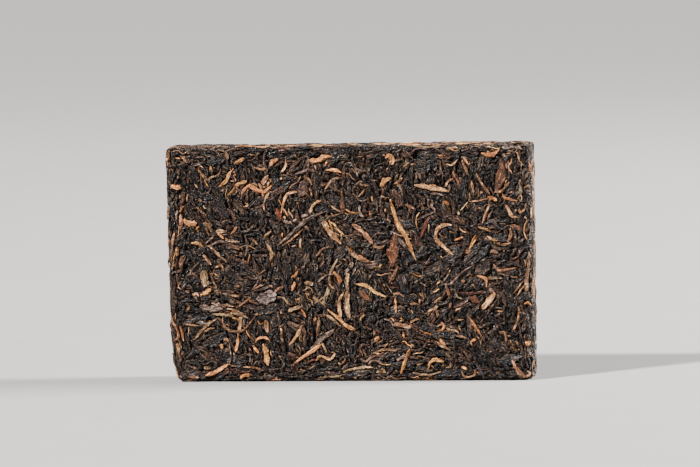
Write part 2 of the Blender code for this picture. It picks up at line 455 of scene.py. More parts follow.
def taper(share: Numbers, first: float, last: float) -> Numbers:
    """Width of a leaf along its length: it narrows to each tip over these shares of the length."""
    start = np.clip(share / first, 0, 1)
    end = np.clip((1 - share) / last, 0, 1)
    return np.clip(np.minimum(start, end) ** TIP_ROUND, TIP_WIDTH, 1)


def finished_leaf(kind: Kind, tint: Colour, line: Numbers, width: float, rng: np.random.Generator) -> Leaf:
    """A leaf along a given line, with the other sizes drawn at random.

    Args:
        kind: What it is.
        tint: Its colour.
        line: Its middle line, evenly spaced.
        width: Its full width.
        rng: Where the rest comes from.

    Returns:
        The leaf.
    """
    form = FORMS[kind]
    share = np.linspace(0, 1, len(line))
    half = width / 2 * taper(share, rng.uniform(*form.tip), rng.uniform(*form.tip))
    waves = rng.uniform(*WIDTH_WAVES)
    half = half * (1 + WIDTH_WOBBLE * np.sin(2 * math.pi * (waves * share + rng.random())))
    half = half * (1 + form.torn * rng.uniform(-1, 1, len(line)))
    line = line + form.torn * half[:, None] * rng.uniform(-1, 1, (len(line), 2))
    wave = np.sin(2 * math.pi * (rng.uniform(*TILT_WAVES) * share + rng.random()))
    tilt = math.tan(math.radians(form.tilt)) * wave
    return Leaf(
        kind=kind,
        tint=tint,
        line=line,
        half_width=half,
        thickness=rng.uniform(*form.thickness) * min(1.0, THIN_SHARE + THICKER_A_MM * width),
        ridges=rng.uniform(*form.ridges),
        twist=rng.normal(0, form.twist),
        phase=rng.random(),
        tilt=tilt,
    )


def drawn_leaf(
    kind: Kind, place: Numbers, heading: float, size: float, coarse: float, rng: np.random.Generator
) -> Leaf:
    """A leaf whose sizes are all drawn at random.

    Args:
        kind: What it is.
        place: The middle of its line.
        heading: Its heading there, in radians.
        size: A factor on its length.
        coarse: A factor on the spacing of its rings.
        rng: Where the sizes come from.

    Returns:
        The leaf.
    """
    form = FORMS[kind]
    length = rng.uniform(*form.length) * size
    count = max(FEWEST_RINGS, int(round(length / (form.step * coarse))) + 1)
    share = np.linspace(0, 1, count)
    bend = math.radians(rng.normal(0, form.bend))
    wiggle = math.radians(rng.normal(0, form.wiggle))
    wave = np.sin(2 * math.pi * (rng.uniform(*BEND_WAVES) * share + rng.random()))
    turn = heading + bend * (share - 0.5) + wiggle * wave
    steps = np.stack([np.cos(turn), np.sin(turn)], 1) * length / (count - 1)
    line = np.cumsum(steps, axis=0)
    line += place - line[count // 2]
    return finished_leaf(kind, drawn_tint(kind, rng), line, rng.uniform(*form.width), rng)


POINTS_A_STRETCH = 8


def smooth_line(points: Sequence[Pair], step: float) -> Numbers:
    """A smooth line through the points, evenly spaced.

    Args:
        points: At least two points.
        step: The largest spacing.

    Returns:
        One row of u and v for each point of the line.
    """
    given = np.array(points, float)
    ends = [2 * given[0] - given[1]], given, [2 * given[-1] - given[-2]]
    held = np.concatenate(ends)
    t = np.linspace(0, 1, POINTS_A_STRETCH, endpoint=False)[:, None]
    parts = []
    for a, b, c, d in zip(held, held[1:], held[2:], held[3:]):
        curve = 2 * b + (c - a) * t + (2 * a - 5 * b + 4 * c - d) * t**2 + (3 * b - a - 3 * c + d) * t**3
        parts.append(curve / 2)
    line = np.concatenate([*parts, given[-1:]])
    along = np.concatenate([[0.0], np.cumsum(np.linalg.norm(np.diff(line, axis=0), axis=1))])
    at = np.linspace(0, along[-1], max(FEWEST_RINGS, int(along[-1] / step) + 2))
    return np.stack([np.interp(at, along, line[:, 0]), np.interp(at, along, line[:, 1])], 1)


@dataclass(frozen=True)
class Seen:
    """A piece that the photograph shows: its colour, its width in mm, and its line in pixels there."""

    tint: Tint
    width: float
    line: tuple[Pair, ...]
    kind: Kind = Kind.BUD


def bud(tint: Tint, width: float, *line: Pair) -> Seen:
    """A bud or stalk along a line."""
    return Seen(tint, width, line)


def flake(tint: Tint, width: float, *line: Pair) -> Seen:
    """A wide flat leaf along a line, or a reddish flake where the tint is a flake's."""
    return Seen(tint, width, line, Kind.FLAKE if tint in MIXES[Kind.FLAKE] else Kind.WIDE)


# The uppermost pieces come first, because each is laid under those before it
SEEN_PIECES = (
    # Upper left
    bud(
        Tint.ORANGE, 1.6,
        (241.5, 194), (246, 188), (250, 186.5), (257, 190), (264, 192), (269, 188), (272.5, 185),
    ),
    bud(Tint.GOLD, 1.4, (219, 187), (226, 181), (229, 174), (233, 169)),
    bud(Tint.OLIVE, 1.05, (199, 170), (203, 176), (207, 180), (212, 177), (216.5, 176)),
    bud(Tint.PINK, 0.65, (215, 176), (219, 174), (220.5, 169)),
    bud(Tint.GOLD, 1.4, (234, 164), (239, 161.5), (244, 158)),
    bud(Tint.PEACH, 1.6, (270, 166), (273, 161.5), (278, 159.5)),
    bud(Tint.PALE, 0.9, (254, 167), (260, 169.5), (266, 169)),
    bud(Tint.PALE, 0.9, (280, 173.5), (285, 167), (285.4, 159)),
    bud(Tint.PINK, 1.8, (262, 184.6), (265, 180), (268, 175)),
    bud(Tint.PALE, 1.15, (281, 213), (283.5, 203), (286, 196), (290, 193), (297, 192)),
    bud(Tint.PEACH, 2.15, (184, 219), (187, 223), (192, 224), (197, 223)),
    bud(Tint.PEACH, 1.8, (170.6, 186), (175, 187.5), (181, 188)),
    bud(Tint.PINK, 1.4, (174.6, 232.5), (172.5, 241), (172, 248)),
    bud(Tint.GOLD, 1.4, (177, 247), (177, 251), (177, 256)),
    bud(Tint.ORANGE, 0.7, (180, 213), (182, 208), (184, 206)),
    bud(Tint.GOLD, 1.25, (191, 243), (198, 243.5), (203, 247)),
    bud(Tint.GREY, 0.9, (209.6, 246), (216, 243), (221, 241.5), (227, 243)),
    bud(Tint.TAN, 0.9, (205, 227), (207, 231), (209, 236)),
    bud(Tint.PALE, 1.05, (230, 235), (234, 231), (237, 226.5)),
    bud(Tint.TAN, 1.4, (180, 156), (184, 158.5), (187, 163)),
    bud(Tint.TAN, 1.05, (225.5, 151), (227, 156), (228, 160)),
    bud(Tint.RUST, 0.9, (232, 184), (236, 188), (240, 192)),
    bud(Tint.PALE, 0.7, (245, 203), (248, 205.5), (243.5, 207)),
    bud(Tint.TAN, 1.05, (251, 238), (254, 241), (257, 245)),
    bud(Tint.OLIVE, 1.4, (263, 240), (267, 235), (271, 231)),
    bud(Tint.PINK, 1.4, (203, 255), (207, 260), (211, 265)),
    bud(Tint.GREY, 0.7, (205, 244), (212, 238), (216, 233)),
    bud(Tint.PEACH, 1.05, (217, 233.5), (221, 236), (223, 239)),
    bud(Tint.GREY, 1.05, (255, 208), (260, 207), (264, 204)),
    flake(Tint.RED, 2.15, (276.5, 208), (279, 214), (279, 222)),
    bud(Tint.PALE, 1.05, (283.5, 216), (285, 219)),
    bud(Tint.TAN, 0.9, (218, 261), (221, 265), (223.5, 270)),
    # Upper middle
    bud(Tint.PEACH, 1.95, (309.5, 160.5), (317.5, 160.5), (324.6, 157), (331.8, 156.5)),
    bud(Tint.PEACH, 1.25, (325.5, 170.4), (333.6, 170), (341.6, 172.6)),
    bud(Tint.RUST, 1.05, (343.4, 166), (343.8, 175), (342.5, 186)),
    flake(Tint.RUST, 1.8, (341.6, 188), (342, 196), (342.5, 205), (344, 214)),
    bud(Tint.GOLD, 2.15, (385, 158), (389, 156), (392.5, 160), (390, 164)),
    bud(Tint.GOLD, 2.15, (381, 187), (384.5, 181), (391, 178.5)),
    bud(Tint.GOLD, 1.95, (390, 199), (393, 210), (398, 224), (405, 235), (410, 247), (416, 260.5)),
    bud(Tint.PALE, 2.15, (323, 221), (328, 230), (335, 238), (341, 244)),
    bud(Tint.OLIVE, 0.9, (341, 232), (341.6, 238), (341, 244)),
    bud(Tint.PINK, 1.8, (352, 224), (360, 230), (367.5, 237), (373, 244)),
    bud(Tint.TAN, 1.25, (372, 241), (375.5, 247), (380, 248), (385, 245)),
    bud(Tint.TAN, 1.4, (346, 246), (354, 255), (363, 261), (374, 262)),
    bud(Tint.GREY, 1.6, (277, 246), (287, 238), (296, 230), (310, 218), (327, 211)),
    bud(Tint.TAN, 0.9, (282, 246), (292, 239), (303, 229)),
    bud(Tint.PALE, 1.05, (310, 213), (313, 205), (322, 200)),
    bud(Tint.PINK, 1.05, (394, 184), (398, 182), (402, 178)),
    bud(Tint.PALE, 0.7, (358, 197), (362, 193), (365, 189)),
    bud(Tint.OLIVE, 0.7, (359, 184), (364, 185.5), (369, 185.5)),
    bud(Tint.GOLD, 0.7, (345, 209), (351, 212.5), (358, 213)),
    bud(Tint.TAN, 1.05, (303, 176), (309, 180), (312, 185)),
    bud(Tint.GREY, 1.05, (352, 166), (358, 170), (366, 171)),
    # Upper right
    bud(Tint.TAN, 1.25, (494, 192.5), (501, 191.7), (505, 188), (509.5, 182)),
    bud(Tint.ORANGE, 1.25, (487.5, 197), (492, 198), (497, 201)),
    bud(Tint.ORANGE, 1.05, (502.5, 194), (504, 197.5), (510, 199.5), (517, 201)),
    bud(Tint.PALE, 2.15, (414, 185), (427, 187), (438, 189), (449, 191)),
    bud(Tint.TAN, 1.05, (445, 187), (448.5, 181), (454, 179)),
    bud(Tint.PALE, 1.4, (452, 225), (443, 225.5), (436.5, 231), (436.5, 240), (445, 248), (453, 255)),
    bud(Tint.ORANGE, 0.9, (454, 240.5), (459, 239), (464, 237)),
    bud(Tint.GOLD, 1.4, (469, 249), (473, 243), (476, 235)),
    bud(Tint.PALE, 1.4, (505, 204), (509, 211), (512, 216.5), (518, 217.5)),
    bud(Tint.PINK, 1.05, (482, 224), (486, 213), (489.5, 205)),
    bud(Tint.GREY, 0.9, (487, 220), (490, 215), (492.5, 211)),
    bud(Tint.ORANGE, 1.8, (481, 153), (487, 155), (493, 154.6), (499.5, 149)),
    bud(Tint.PEACH, 0.9, (463, 157), (466, 161), (468.5, 165)),
    bud(Tint.TAN, 1.25, (462, 160), (465, 168), (469, 176)),
    bud(Tint.TAN, 1.25, (476, 173), (482, 184), (490, 195)),
    bud(Tint.TAN, 1.05, (471, 180), (472.5, 187), (474, 195)),
    bud(Tint.PINK, 0.7, (469, 201.5), (478, 201), (488, 198.5)),
    flake(Tint.RED, 1.8, (421, 237), (425, 226), (430, 216)),
    bud(Tint.GREY, 0.7, (417, 220), (425, 216), (435, 211.5)),
    bud(Tint.GREY, 0.7, (439, 178), (440.5, 171), (440, 161.5)),
    bud(Tint.ORANGE, 1.4, (443, 202), (447, 203), (448, 206)),
    bud(Tint.PALE, 1.05, (487, 236), (492, 239.5), (497, 241)),
    bud(Tint.PINK, 1.4, (510, 228), (511, 235), (508, 243)),
    bud(Tint.TAN, 1.05, (496, 243), (503, 245), (511, 243)),
    bud(Tint.PINK, 1.05, (519, 209), (521, 213), (525, 208.5)),
    bud(Tint.PALE, 0.7, (445, 164), (452, 165), (457, 160)),
    bud(Tint.PINK, 1.05, (524, 188), (529, 186), (532, 190)),
    bud(Tint.GREY, 1.05, (430, 194), (437, 194), (443, 195.5)),
    # Lower left
    bud(Tint.TAN, 0.9, (229, 295), (235, 296), (240, 296)),
    bud(Tint.PINK, 0.7, (237, 307.5), (244, 303), (251, 297)),
    bud(Tint.OLIVE, 1.6, (230, 313), (238, 314), (248, 318)),
    bud(Tint.TAN, 0.95, (223, 314), (223, 324), (230, 331), (242.5, 331), (250, 323), (256, 315)),
    bud(Tint.PEACH, 1.25, (238, 335), (237.5, 344), (235.5, 352)),
    bud(Tint.PEACH, 1, (255, 343), (257, 339.5), (262, 337.5), (268, 339), (270, 343)),
    bud(Tint.TAN, 2.15, (265.6, 320), (266.5, 326), (267.5, 333)),
    bud(Tint.GOLD, 2.3, (263, 344), (266, 353), (268, 366)),
    bud(Tint.GREY, 0.65, (229, 342), (230, 350), (231, 358), (229, 364)),
    bud(Tint.PEACH, 1.4, (229, 364), (222, 368.5), (214, 373), (205, 376)),
    bud(Tint.PALE, 1.25, (223.5, 340), (226, 339.5), (229, 342)),
    bud(Tint.GOLD, 1.4, (221, 344), (222, 349)),
    bud(Tint.OLIVE, 1.4, (194, 340), (202, 331), (210, 323), (217, 319)),
    bud(Tint.TAN, 1.05, (200, 336), (207, 330), (215, 328)),
    bud(Tint.PINK, 1, (174, 316), (172, 321), (177, 330), (178, 338), (173, 341.5)),
    bud(Tint.ORANGE, 1.05, (180, 326), (182, 333), (183.5, 341)),
    bud(Tint.PALE, 1.4, (177, 343), (178, 348), (179, 353)),
    bud(Tint.TAN, 0.65, (215, 268), (212, 277), (214, 283), (217, 288.5)),
    bud(Tint.TAN, 1.05, (215, 268), (220, 266), (224, 271)),
    bud(Tint.GOLD, 1.95, (200.5, 295), (206, 293), (210.5, 289)),
    bud(Tint.PINK, 1.4, (193, 296), (196, 294), (199, 296.5)),
    bud(Tint.PALE, 0.7, (183, 324), (190, 325), (199, 326)),
    bud(Tint.TAN, 1.05, (243, 367), (254, 368), (264, 371)),
    bud(Tint.ORANGE, 1.6, (240, 378), (245, 375.5), (250, 376)),
    bud(Tint.PALE, 0.9, (280, 328), (281.5, 331), (281, 335)),
    bud(Tint.GREY, 1.05, (210, 300), (214, 302), (219, 299)),
    bud(Tint.PINK, 1.4, (275, 292), (279, 289), (283, 287)),
    bud(Tint.TAN, 1.05, (186, 312), (188, 309), (190, 306)),
    bud(Tint.TAN, 1.05, (186, 376), (192, 378), (200, 378)),
    bud(Tint.GREY, 0.9, (247, 276), (253, 279), (258, 278)),
    bud(Tint.TAN, 0.9, (211, 374), (217, 370), (223, 366)),
    # Lower middle
    bud(Tint.OLIVE, 1.8, (348, 273), (347, 281), (348, 292)),
    bud(Tint.OLIVE, 2.3, (348, 290), (347, 303), (349, 318)),
    bud(Tint.PALE, 1.4, (343.5, 292), (339, 303), (341, 318)),
    bud(Tint.YELLOW, 1.25, (354.5, 284), (366, 286), (375, 292.5), (386, 297)),
    bud(Tint.GOLD, 1.4, (327, 309.5), (338, 318), (346, 325.5), (355, 330)),
    bud(Tint.OLIVE, 1.25, (325.5, 314), (333, 320), (341, 327)),
    bud(Tint.PEACH, 1, (395, 298), (396, 305), (396, 313)),
    bud(Tint.TAN, 0.9, (393, 294), (399, 294), (404, 297)),
    bud(Tint.PINK, 1.8, (394, 324), (402, 326), (411, 328)),
    bud(Tint.PALE, 0.9, (410, 323), (415, 320), (420, 319)),
    bud(Tint.PALE, 0.9, (361, 321), (361, 318), (365, 315)),
    bud(Tint.PEACH, 1.4, (291.5, 291), (293.5, 287), (295, 282)),
    bud(Tint.ORANGE, 1.25, (294, 278), (296, 274), (298, 271)),
    bud(Tint.OLIVE, 1.6, (288, 311), (294, 309), (301, 307)),
    bud(Tint.ORANGE, 0.8, (301, 309), (303.5, 313), (306, 318)),
    bud(Tint.PALE, 1.35, (289, 345), (294, 340), (299, 332), (302, 325)),
    bud(Tint.PEACH, 1.6, (295, 363), (302, 358), (309.5, 353), (322, 344)),
    bud(Tint.GREY, 1.95, (310, 349), (322, 339), (335, 329)),
    bud(Tint.PALE, 1.05, (316, 361), (321, 356.5), (330, 359.5), (335, 354)),
    bud(Tint.GOLD, 1.4, (400.5, 374), (405, 362), (410, 349)),
    bud(Tint.ORANGE, 1.05, (403, 332), (404, 338)),
    bud(Tint.PEACH, 1.4, (375, 341), (379, 337)),
    bud(Tint.TAN, 1.05, (375, 352), (385, 350), (397, 351)),
    bud(Tint.GREY, 0.9, (317.5, 282), (326, 275.5), (334, 274)),
    bud(Tint.PINK, 1.4, (389, 283), (394, 275), (398, 266)),
    bud(Tint.ORANGE, 1.4, (333, 272), (338, 277), (341, 283)),
    bud(Tint.TAN, 0.9, (329, 281), (331, 287), (336, 290)),
    bud(Tint.ORANGE, 1.4, (355, 257), (361, 258), (367.5, 262)),
    bud(Tint.GOLD, 1.25, (314, 321), (316, 318)),
    bud(Tint.TAN, 1.6, (317, 336), (318.5, 327), (319, 317)),
    bud(Tint.OLIVE, 1.4, (304, 283), (309, 283), (313, 285)),
    bud(Tint.TAN, 0.8, (316, 256), (323, 249), (331, 247)),
    # Lower right
    bud(Tint.PEACH, 1.25, (477, 276), (486, 279.5), (486.5, 287)),
    bud(Tint.PALE, 2.15, (482, 309), (489, 301), (495, 293)),
    bud(Tint.RUST, 1.4, (454, 292), (466, 294), (486, 292)),
    bud(Tint.PALE, 1.05, (461, 281), (465, 281)),
    bud(
        Tint.GREY, 0.9,
        (440, 270), (438.5, 278), (443, 284), (450, 284), (458, 277), (467, 269), (475, 264.5),
    ),
    bud(Tint.ORANGE, 1.05, (468.5, 317), (473, 323), (477, 329), (482, 337)),
    bud(Tint.TAN, 1.05, (456, 336), (462, 337), (468, 339.5)),
    bud(Tint.PEACH, 1.25, (471, 341), (476, 340)),
    bud(Tint.TAN, 1.05, (434, 308), (437, 312), (437.5, 317)),
    bud(Tint.ORANGE, 1.05, (441, 322), (444, 328), (438, 332)),
    bud(Tint.GOLD, 1.4, (428, 370), (430, 363), (435, 360), (444, 362)),
    bud(Tint.PALE, 0.9, (461, 371), (466, 378), (474, 375.5), (475, 370)),
    bud(Tint.PEACH, 1.05, (461, 367), (464, 368), (467, 370)),
    bud(Tint.PINK, 1.6, (512, 360), (518, 371), (525, 377), (530, 374), (527, 371)),
    bud(Tint.PEACH, 1.8, (525, 342), (529, 344), (530, 341)),
    bud(Tint.TAN, 0.9, (519, 307), (518, 320), (512, 332)),
    bud(Tint.PALE, 0.55, (513, 294), (518, 288), (523, 281)),
    bud(Tint.PALE, 0.55, (517, 296), (521, 290), (525, 285)),
    bud(Tint.TAN, 1.6, (530.5, 255), (528, 272), (526, 292)),
    bud(Tint.PEACH, 1.05, (524, 304), (529, 303), (532, 305)),
    bud(Tint.PINK, 1.05, (499.5, 332.5), (504, 332), (506, 338), (506, 343)),
    bud(Tint.PALE, 1, (410, 304), (416, 304)),
    bud(Tint.BROWN, 1.8, (501, 291), (504, 298), (506, 307)),
    bud(Tint.PINK, 1.05, (493, 264), (499, 271), (506, 270), (517, 268)),
    # Flat leaves that lie under the buds
    flake(Tint.RUST, 3.4, (500.5, 158), (502, 168), (500, 180), (495, 193)),
    flake(Tint.BLACK, 5.35, (414, 168), (424, 167), (437, 164)),
    flake(Tint.BLACK, 4.25, (417, 158), (428, 156), (438, 157)),
    flake(Tint.SLATE, 2.3, (464, 262), (474, 251), (484, 240)),
    flake(Tint.SLATE, 2.3, (471, 265), (482, 254), (491, 243)),
    flake(Tint.OLIVE, 3.05, (202, 271), (205, 278), (205, 287)),
    # These two flakes have light tints that partly paint their sheen into their colour
    flake(Tint.LILAC, 5, (257, 300), (266, 298), (276, 294)),
    flake(Tint.GREY, 2.15, (199, 306), (210, 309), (223, 309)),
    flake(Tint.SLATE, 3.4, (366, 317), (370, 317), (375, 317)),
    flake(Tint.DARK, 2.85, (304, 296), (305, 303), (307, 311)),
    flake(Tint.RUST, 2.5, (359, 290), (364, 295), (370, 302)),
    flake(Tint.BROWN, 2.65, (494, 266), (505, 272), (517, 269)),
    flake(Tint.RUST, 2.85, (470, 298), (475, 300), (480, 303)),
    flake(Tint.BLACK, 4.25, (207, 163), (215, 161), (224, 159)),
    flake(Tint.DARK, 3.2, (187, 203), (189, 210), (191, 217)),
    flake(Tint.SLATE, 2.15, (179, 325), (193, 320), (208, 316)),
    flake(Tint.BLACK, 3.9, (203, 346), (213, 341), (226, 334)),
    flake(Tint.DARK, 3.2, (254, 310), (265, 311), (277, 309)),
    flake(Tint.DARK, 3.9, (222, 267), (232, 274), (243, 281)),
    flake(Tint.DARK, 3.55, (291, 250), (296, 252), (302, 256)),
    flake(Tint.BLACK, 3.2, (350, 245), (355, 243), (360, 246)),
    flake(Tint.SLATE, 4.25, (399, 271), (403, 282), (408, 294)),
    flake(Tint.DARK, 3.2, (471, 202), (474, 213), (476, 225)),
    flake(Tint.BLACK, 2.85, (272, 173), (275, 179), (277, 186)),
    flake(Tint.BROWN, 2.5, (362, 264), (369, 266), (378, 265)),
    flake(Tint.SLATE, 3.2, (493, 236), (500, 238), (507, 236)),
    flake(Tint.DARK, 2.5, (384, 324), (393, 331), (402, 341)),
)


def laid_leaf(piece: Seen, form: BrickForm, studio: "Studio", rng: np.random.Generator) -> Leaf:
    """A piece that the photograph shows, as a leaf on the front's sheet."""
    points = [form.front_place(*studio.seen_point(pixel, form.low[1])) for pixel in piece.line]
    line = smooth_line(points, FORMS[piece.kind].step)
    return finished_leaf(piece.kind, piece.tint.value, line, piece.width, rng)


# Wide leaves have two more points below, to keep their undersides flat
FLAT_BELOW = (0.5, -0.5)
FLAT_KINDS = (Kind.WIDE, Kind.FLAKE)

# The share of a crumple that runs the whole length of the leaf
CRUMPLE_ALONG = 0.6


@dataclass
class LeafLot:
    """The leaves of one kind on one side, as rings of points that still lie on the sheet."""

    flat: list[Numbers] = field(default_factory=list)
    marks: list[Numbers] = field(default_factory=list)
    tints: list[Numbers] = field(default_factory=list)
    corners: list[Numbers] = field(default_factory=list)
    count: int = 0

    def add(self, leaf: Leaf, depth: Numbers, lot: float, rng: np.random.Generator) -> None:
        """Adds one leaf.

        Args:
            leaf: The leaf.
            depth: The depth of its highest line at each ring.
            lot: A number of its own, which keeps its pattern unlike the others'.
            rng: Where its crumples come from.
        """
        across = np.linspace(-1, 1, FORMS[leaf.kind].columns)
        below = np.array(FLAT_BELOW if leaf.kind in FLAT_KINDS else (0.0,))
        ring = np.concatenate([across, below])
        u, v = leaf.spread(ring)
        top = leaf.top(across)
        folds = CRUMPLE_ALONG * rng.random((1, len(across)))
        folds = folds + (1 - CRUMPLE_ALONG) * rng.random(top.shape)
        top += FORMS[leaf.kind].crumple * folds * leaf.fullness()
        down = np.concatenate([top, leaf.under(below)], 1) + depth[:, None]
        rings, points = u.shape
        self.flat.append(np.stack([u.ravel(), v.ravel(), down.ravel()], 1))
        along = np.repeat(leaf.along, points)
        beside = (leaf.half_width[:, None] * ring[None, :]).ravel()
        self.marks.append(np.stack([along, beside, np.full(rings * points, lot)], 1))
        margins = np.tile(np.abs(ring), rings)[:, None]
        self.tints.append(np.hstack([np.tile(leaf.tint, (rings * points, 1)), margins]))
        self.corners.append(ring_triangles(rings, points) + self.count)
        self.count += rings * points

    def triangles(self) -> int:
        """How many triangles the lot has."""
        return sum(len(part) for part in self.corners)


def ring_triangles(rings: int, points: int) -> Numbers:
    """Triangles of a closed tube of rings with capped ends.

    Args:
        rings: How many rings.
        points: How many points each ring has.

    Returns:
        One row of three corners for each triangle, facing outwards.
    """
    i, j = np.meshgrid(np.arange(rings - 1), np.arange(points), indexing="ij")
    a = (i * points + j).ravel()
    b = (i * points + (j + 1) % points).ravel()
    c, d = a + points, b + points
    fan = np.arange(1, points - 1)
    last = (rings - 1) * points
    start = np.stack([np.zeros_like(fan), fan, fan + 1], 1)
    end = np.stack([np.full_like(fan, last), last + fan + 1, last + fan], 1)
    return np.concatenate([np.stack([a, c, b], 1), np.stack([b, c, d], 1), start, end])


# How far the mould's grid runs on past its edges, how deep a gap between leaves is, and how finely a leaf is
# read to find its depth and to mark its room
MOULD_MARGIN = 1.5
CREVICE = 1.0
PROBES = 5
PROBE_REACH = 0.92
FINER = 0.7

# Leaves lie along an edge that is nearer than this, and all along a narrow side. Elsewhere this share of them
# lies with its neighbours, and the rest anyhow. The spreads are in degrees
EDGE_BAND = 7.0
NEAREST_BAND = 0.4
RIM_WIDTH = 20.0
RIM_SPREAD = 11
FLOW_SHARE = 0.6
FLOW_SPREAD = 17
LOOSE_SPREAD = 60


class Mould:
    """One side of the press. It knows on a fine grid how deep under its wall the next leaf has to lie."""

    # The grid's spacing, and how steeply a leaf may dip
    cell = 0.25
    slope = 0.55
    # The wall's bumps: their least depth, their height and their spacing
    roll = {Side.FRONT: (0.0, 0.40, 7.0), Side.BACK: (0.0, 0.40, 7.0), Side.BOTTOM: (0.0, 0.40, 6.0)}
    rim_roll = (-0.30, 0.75, 3.5)
    # How fast the wall falls away past an edge, and the spacing of the leaves' shared headings
    tuck = 0.7
    flow_spacing = 15.0

    def __init__(self, form: BrickForm, side: Side, rng: np.random.Generator) -> None:
        """An empty mould.

        Args:
            form: The brick.
            side: Which side it presses.
            rng: Where all that is drawn on this side comes from.
        """
        self.form = form
        self.panel = form.panel(side)
        self.rng = rng
        self.reach = (self.arc(self.panel.half_u), self.arc(self.panel.half_v))
        size = [int(2 * (reach + MOULD_MARGIN) / self.cell) + 1 for reach in self.reach]
        u, v = np.meshgrid(*[(np.arange(n) - (n - 1) / 2) * self.cell for n in size], indexing="ij")
        least, roll, spacing = self.roll.get(side, self.rim_roll)
        bumps = SmoothField(spacing, self.reach, rng)
        past = np.maximum(np.maximum(np.abs(u) - self.reach[0], np.abs(v) - self.reach[1]), 0)
        self.ceiling = least + roll * (0.5 + 0.5 * bumps.at(u, v)) + self.tuck * past
        self.bare = past == 0
        self.top = self.ceiling + CREVICE
        self.area = int(self.bare.sum())
        self.flow = [SmoothField(self.flow_spacing, self.reach, rng) for _ in range(2)]

    def arc(self, half: float) -> float:
        """How far leaves run on round the edge: to its middle."""
        return half - self.form.edge_radius + self.form.edge_radius * math.pi / 4

    def cells(self, u: Numbers, v: Numbers) -> tuple[Numbers, Numbers]:
        """The grid's rows and columns at these places."""
        found = []
        for value, count in zip((u, v), self.ceiling.shape):
            found.append(np.clip(np.rint(value / self.cell + (count - 1) / 2).astype(int), 0, count - 1))
        return found[0], found[1]

    def settle(self, leaf: Leaf) -> tuple[Numbers, float, float]:
        """Finds how deep a leaf has to lie to pass under those that are laid.

        Args:
            leaf: The leaf.

        Returns:
            The depth of its highest line at each ring, the share of it that shows, and how deep that is.
        """
        across = np.linspace(-PROBE_REACH, PROBE_REACH, PROBES)
        offset = leaf.top(across)
        where = self.cells(*leaf.spread(across))
        need = (self.ceiling[where] - offset).max(1)
        apart = np.abs(leaf.along[:, None] - leaf.along[None, :])
        depth = (need[None, :] - self.slope * apart).max(1)
        bare = self.bare[where]
        shown = float(bare.mean())
        deep = float((depth[:, None] + offset)[bare].mean()) if shown else math.inf
        return depth, shown, deep

    def press(self, leaf: Leaf, depth: Numbers) -> None:
        """Marks the room that a leaf takes.

        Args:
            leaf: The leaf.
            depth: The depth of its highest line at each ring.
        """
        fine = leaf.finer(self.cell * FINER)
        columns = int(2 * leaf.half_width.max() / (self.cell * FINER)) + 3
        across = np.linspace(-1, 1, columns)
        line = np.interp(fine.along, leaf.along, depth)[:, None]
        where = self.cells(*fine.spread(across))
        top, under = line + fine.top(across), line + fine.under(across)
        bare = self.bare[where]
        self.top[where] = np.where(bare, top, self.top[where])
        self.ceiling[where] = np.maximum(self.ceiling[where], under)
        self.bare[where] = False

    def heading(self, place: Numbers) -> float:
        """A heading for a leaf at a place: along a near edge, else roughly with its neighbours."""
        rng = self.rng
        gaps = np.array(self.reach) - np.abs(place)
        narrow = min(self.reach) < RIM_WIDTH
        if narrow or gaps.min() < EDGE_BAND * rng.uniform(NEAREST_BAND, 1.0):
            upright = self.reach[1] > self.reach[0] if narrow else gaps[0] < gaps[1]
            return (math.pi / 2 if upright else 0.0) + math.radians(rng.normal(0, RIM_SPREAD))
        x, y = (float(f.at(place[0], place[1])) for f in self.flow)
        flow = 0.5 * math.atan2(y, x)
        spread = FLOW_SPREAD if rng.random() < FLOW_SHARE else LOOSE_SPREAD
        return flow + math.radians(rng.normal(0, spread))

    def open_places(self, count: int) -> Numbers:
        """Some random places that no leaf covers yet."""
        rows, columns = np.nonzero(self.bare)
        picked = self.rng.integers(0, len(rows), count)
        middle = (np.array(self.ceiling.shape) - 1) / 2
        return (np.stack([rows[picked], columns[picked]], 1) - middle) * self.cell

    def any_places(self, count: int) -> Numbers:
        """Some random places on the sheet."""
        return self.rng.uniform(-1, 1, (count, 2)) * self.reach

    def open_share(self) -> float:
        """The share of the sheet that no leaf covers yet."""
        return self.bare.sum() / self.area


@dataclass(frozen=True)
class PressRule:
    """How a side is laid: the leaves of each kind that lie on top, and how the rest is filled.

    Twisted leaves, and then bits, are laid until that share of the side is bare. Size is a factor on the
    leaves' lengths, and coarse is one on the spacing of their rings.
    """

    wide: int
    buds: int
    flakes: int
    strands: int
    twisted_until: float
    bits_until: float
    tries: int = 3
    size: float = 1.0
    coarse: float = 1.5


# The rule of the narrow sides is for one of this area, in square mm
RULES = {
    Side.FRONT: PressRule(
        wide=75, buds=20, flakes=0, strands=320, twisted_until=0.22, bits_until=0.015, tries=4, coarse=1.0
    ),
    Side.BACK: PressRule(wide=110, buds=220, flakes=16, strands=300, twisted_until=0.18, bits_until=0.03),
}
RIM_RULE = PressRule(wide=16, buds=45, flakes=2, strands=120, twisted_until=0.15, bits_until=0.02, size=1.15)
RIM_AREA = 140 * 23

# The share of a leaf that has to show, and how deep in mm that part may lie: on top, between, and in gaps
ON_TOP = (0.5, 0.9)
BETWEEN = (0.35, 1.1)
IN_GAPS = (0.25, 1.6)

# Of the leaves tried at a place the highest is laid, and showing in full is worth this many mm
SHOWN_WORTH = 0.5
MOST_ROUNDS = 60
PLACES_A_ROUND = 60

# Each leaf has its own number, which shifts its pattern: it rises by this step within this range
LOT_STEP = 7.31
LOT_RANGE = 97.0


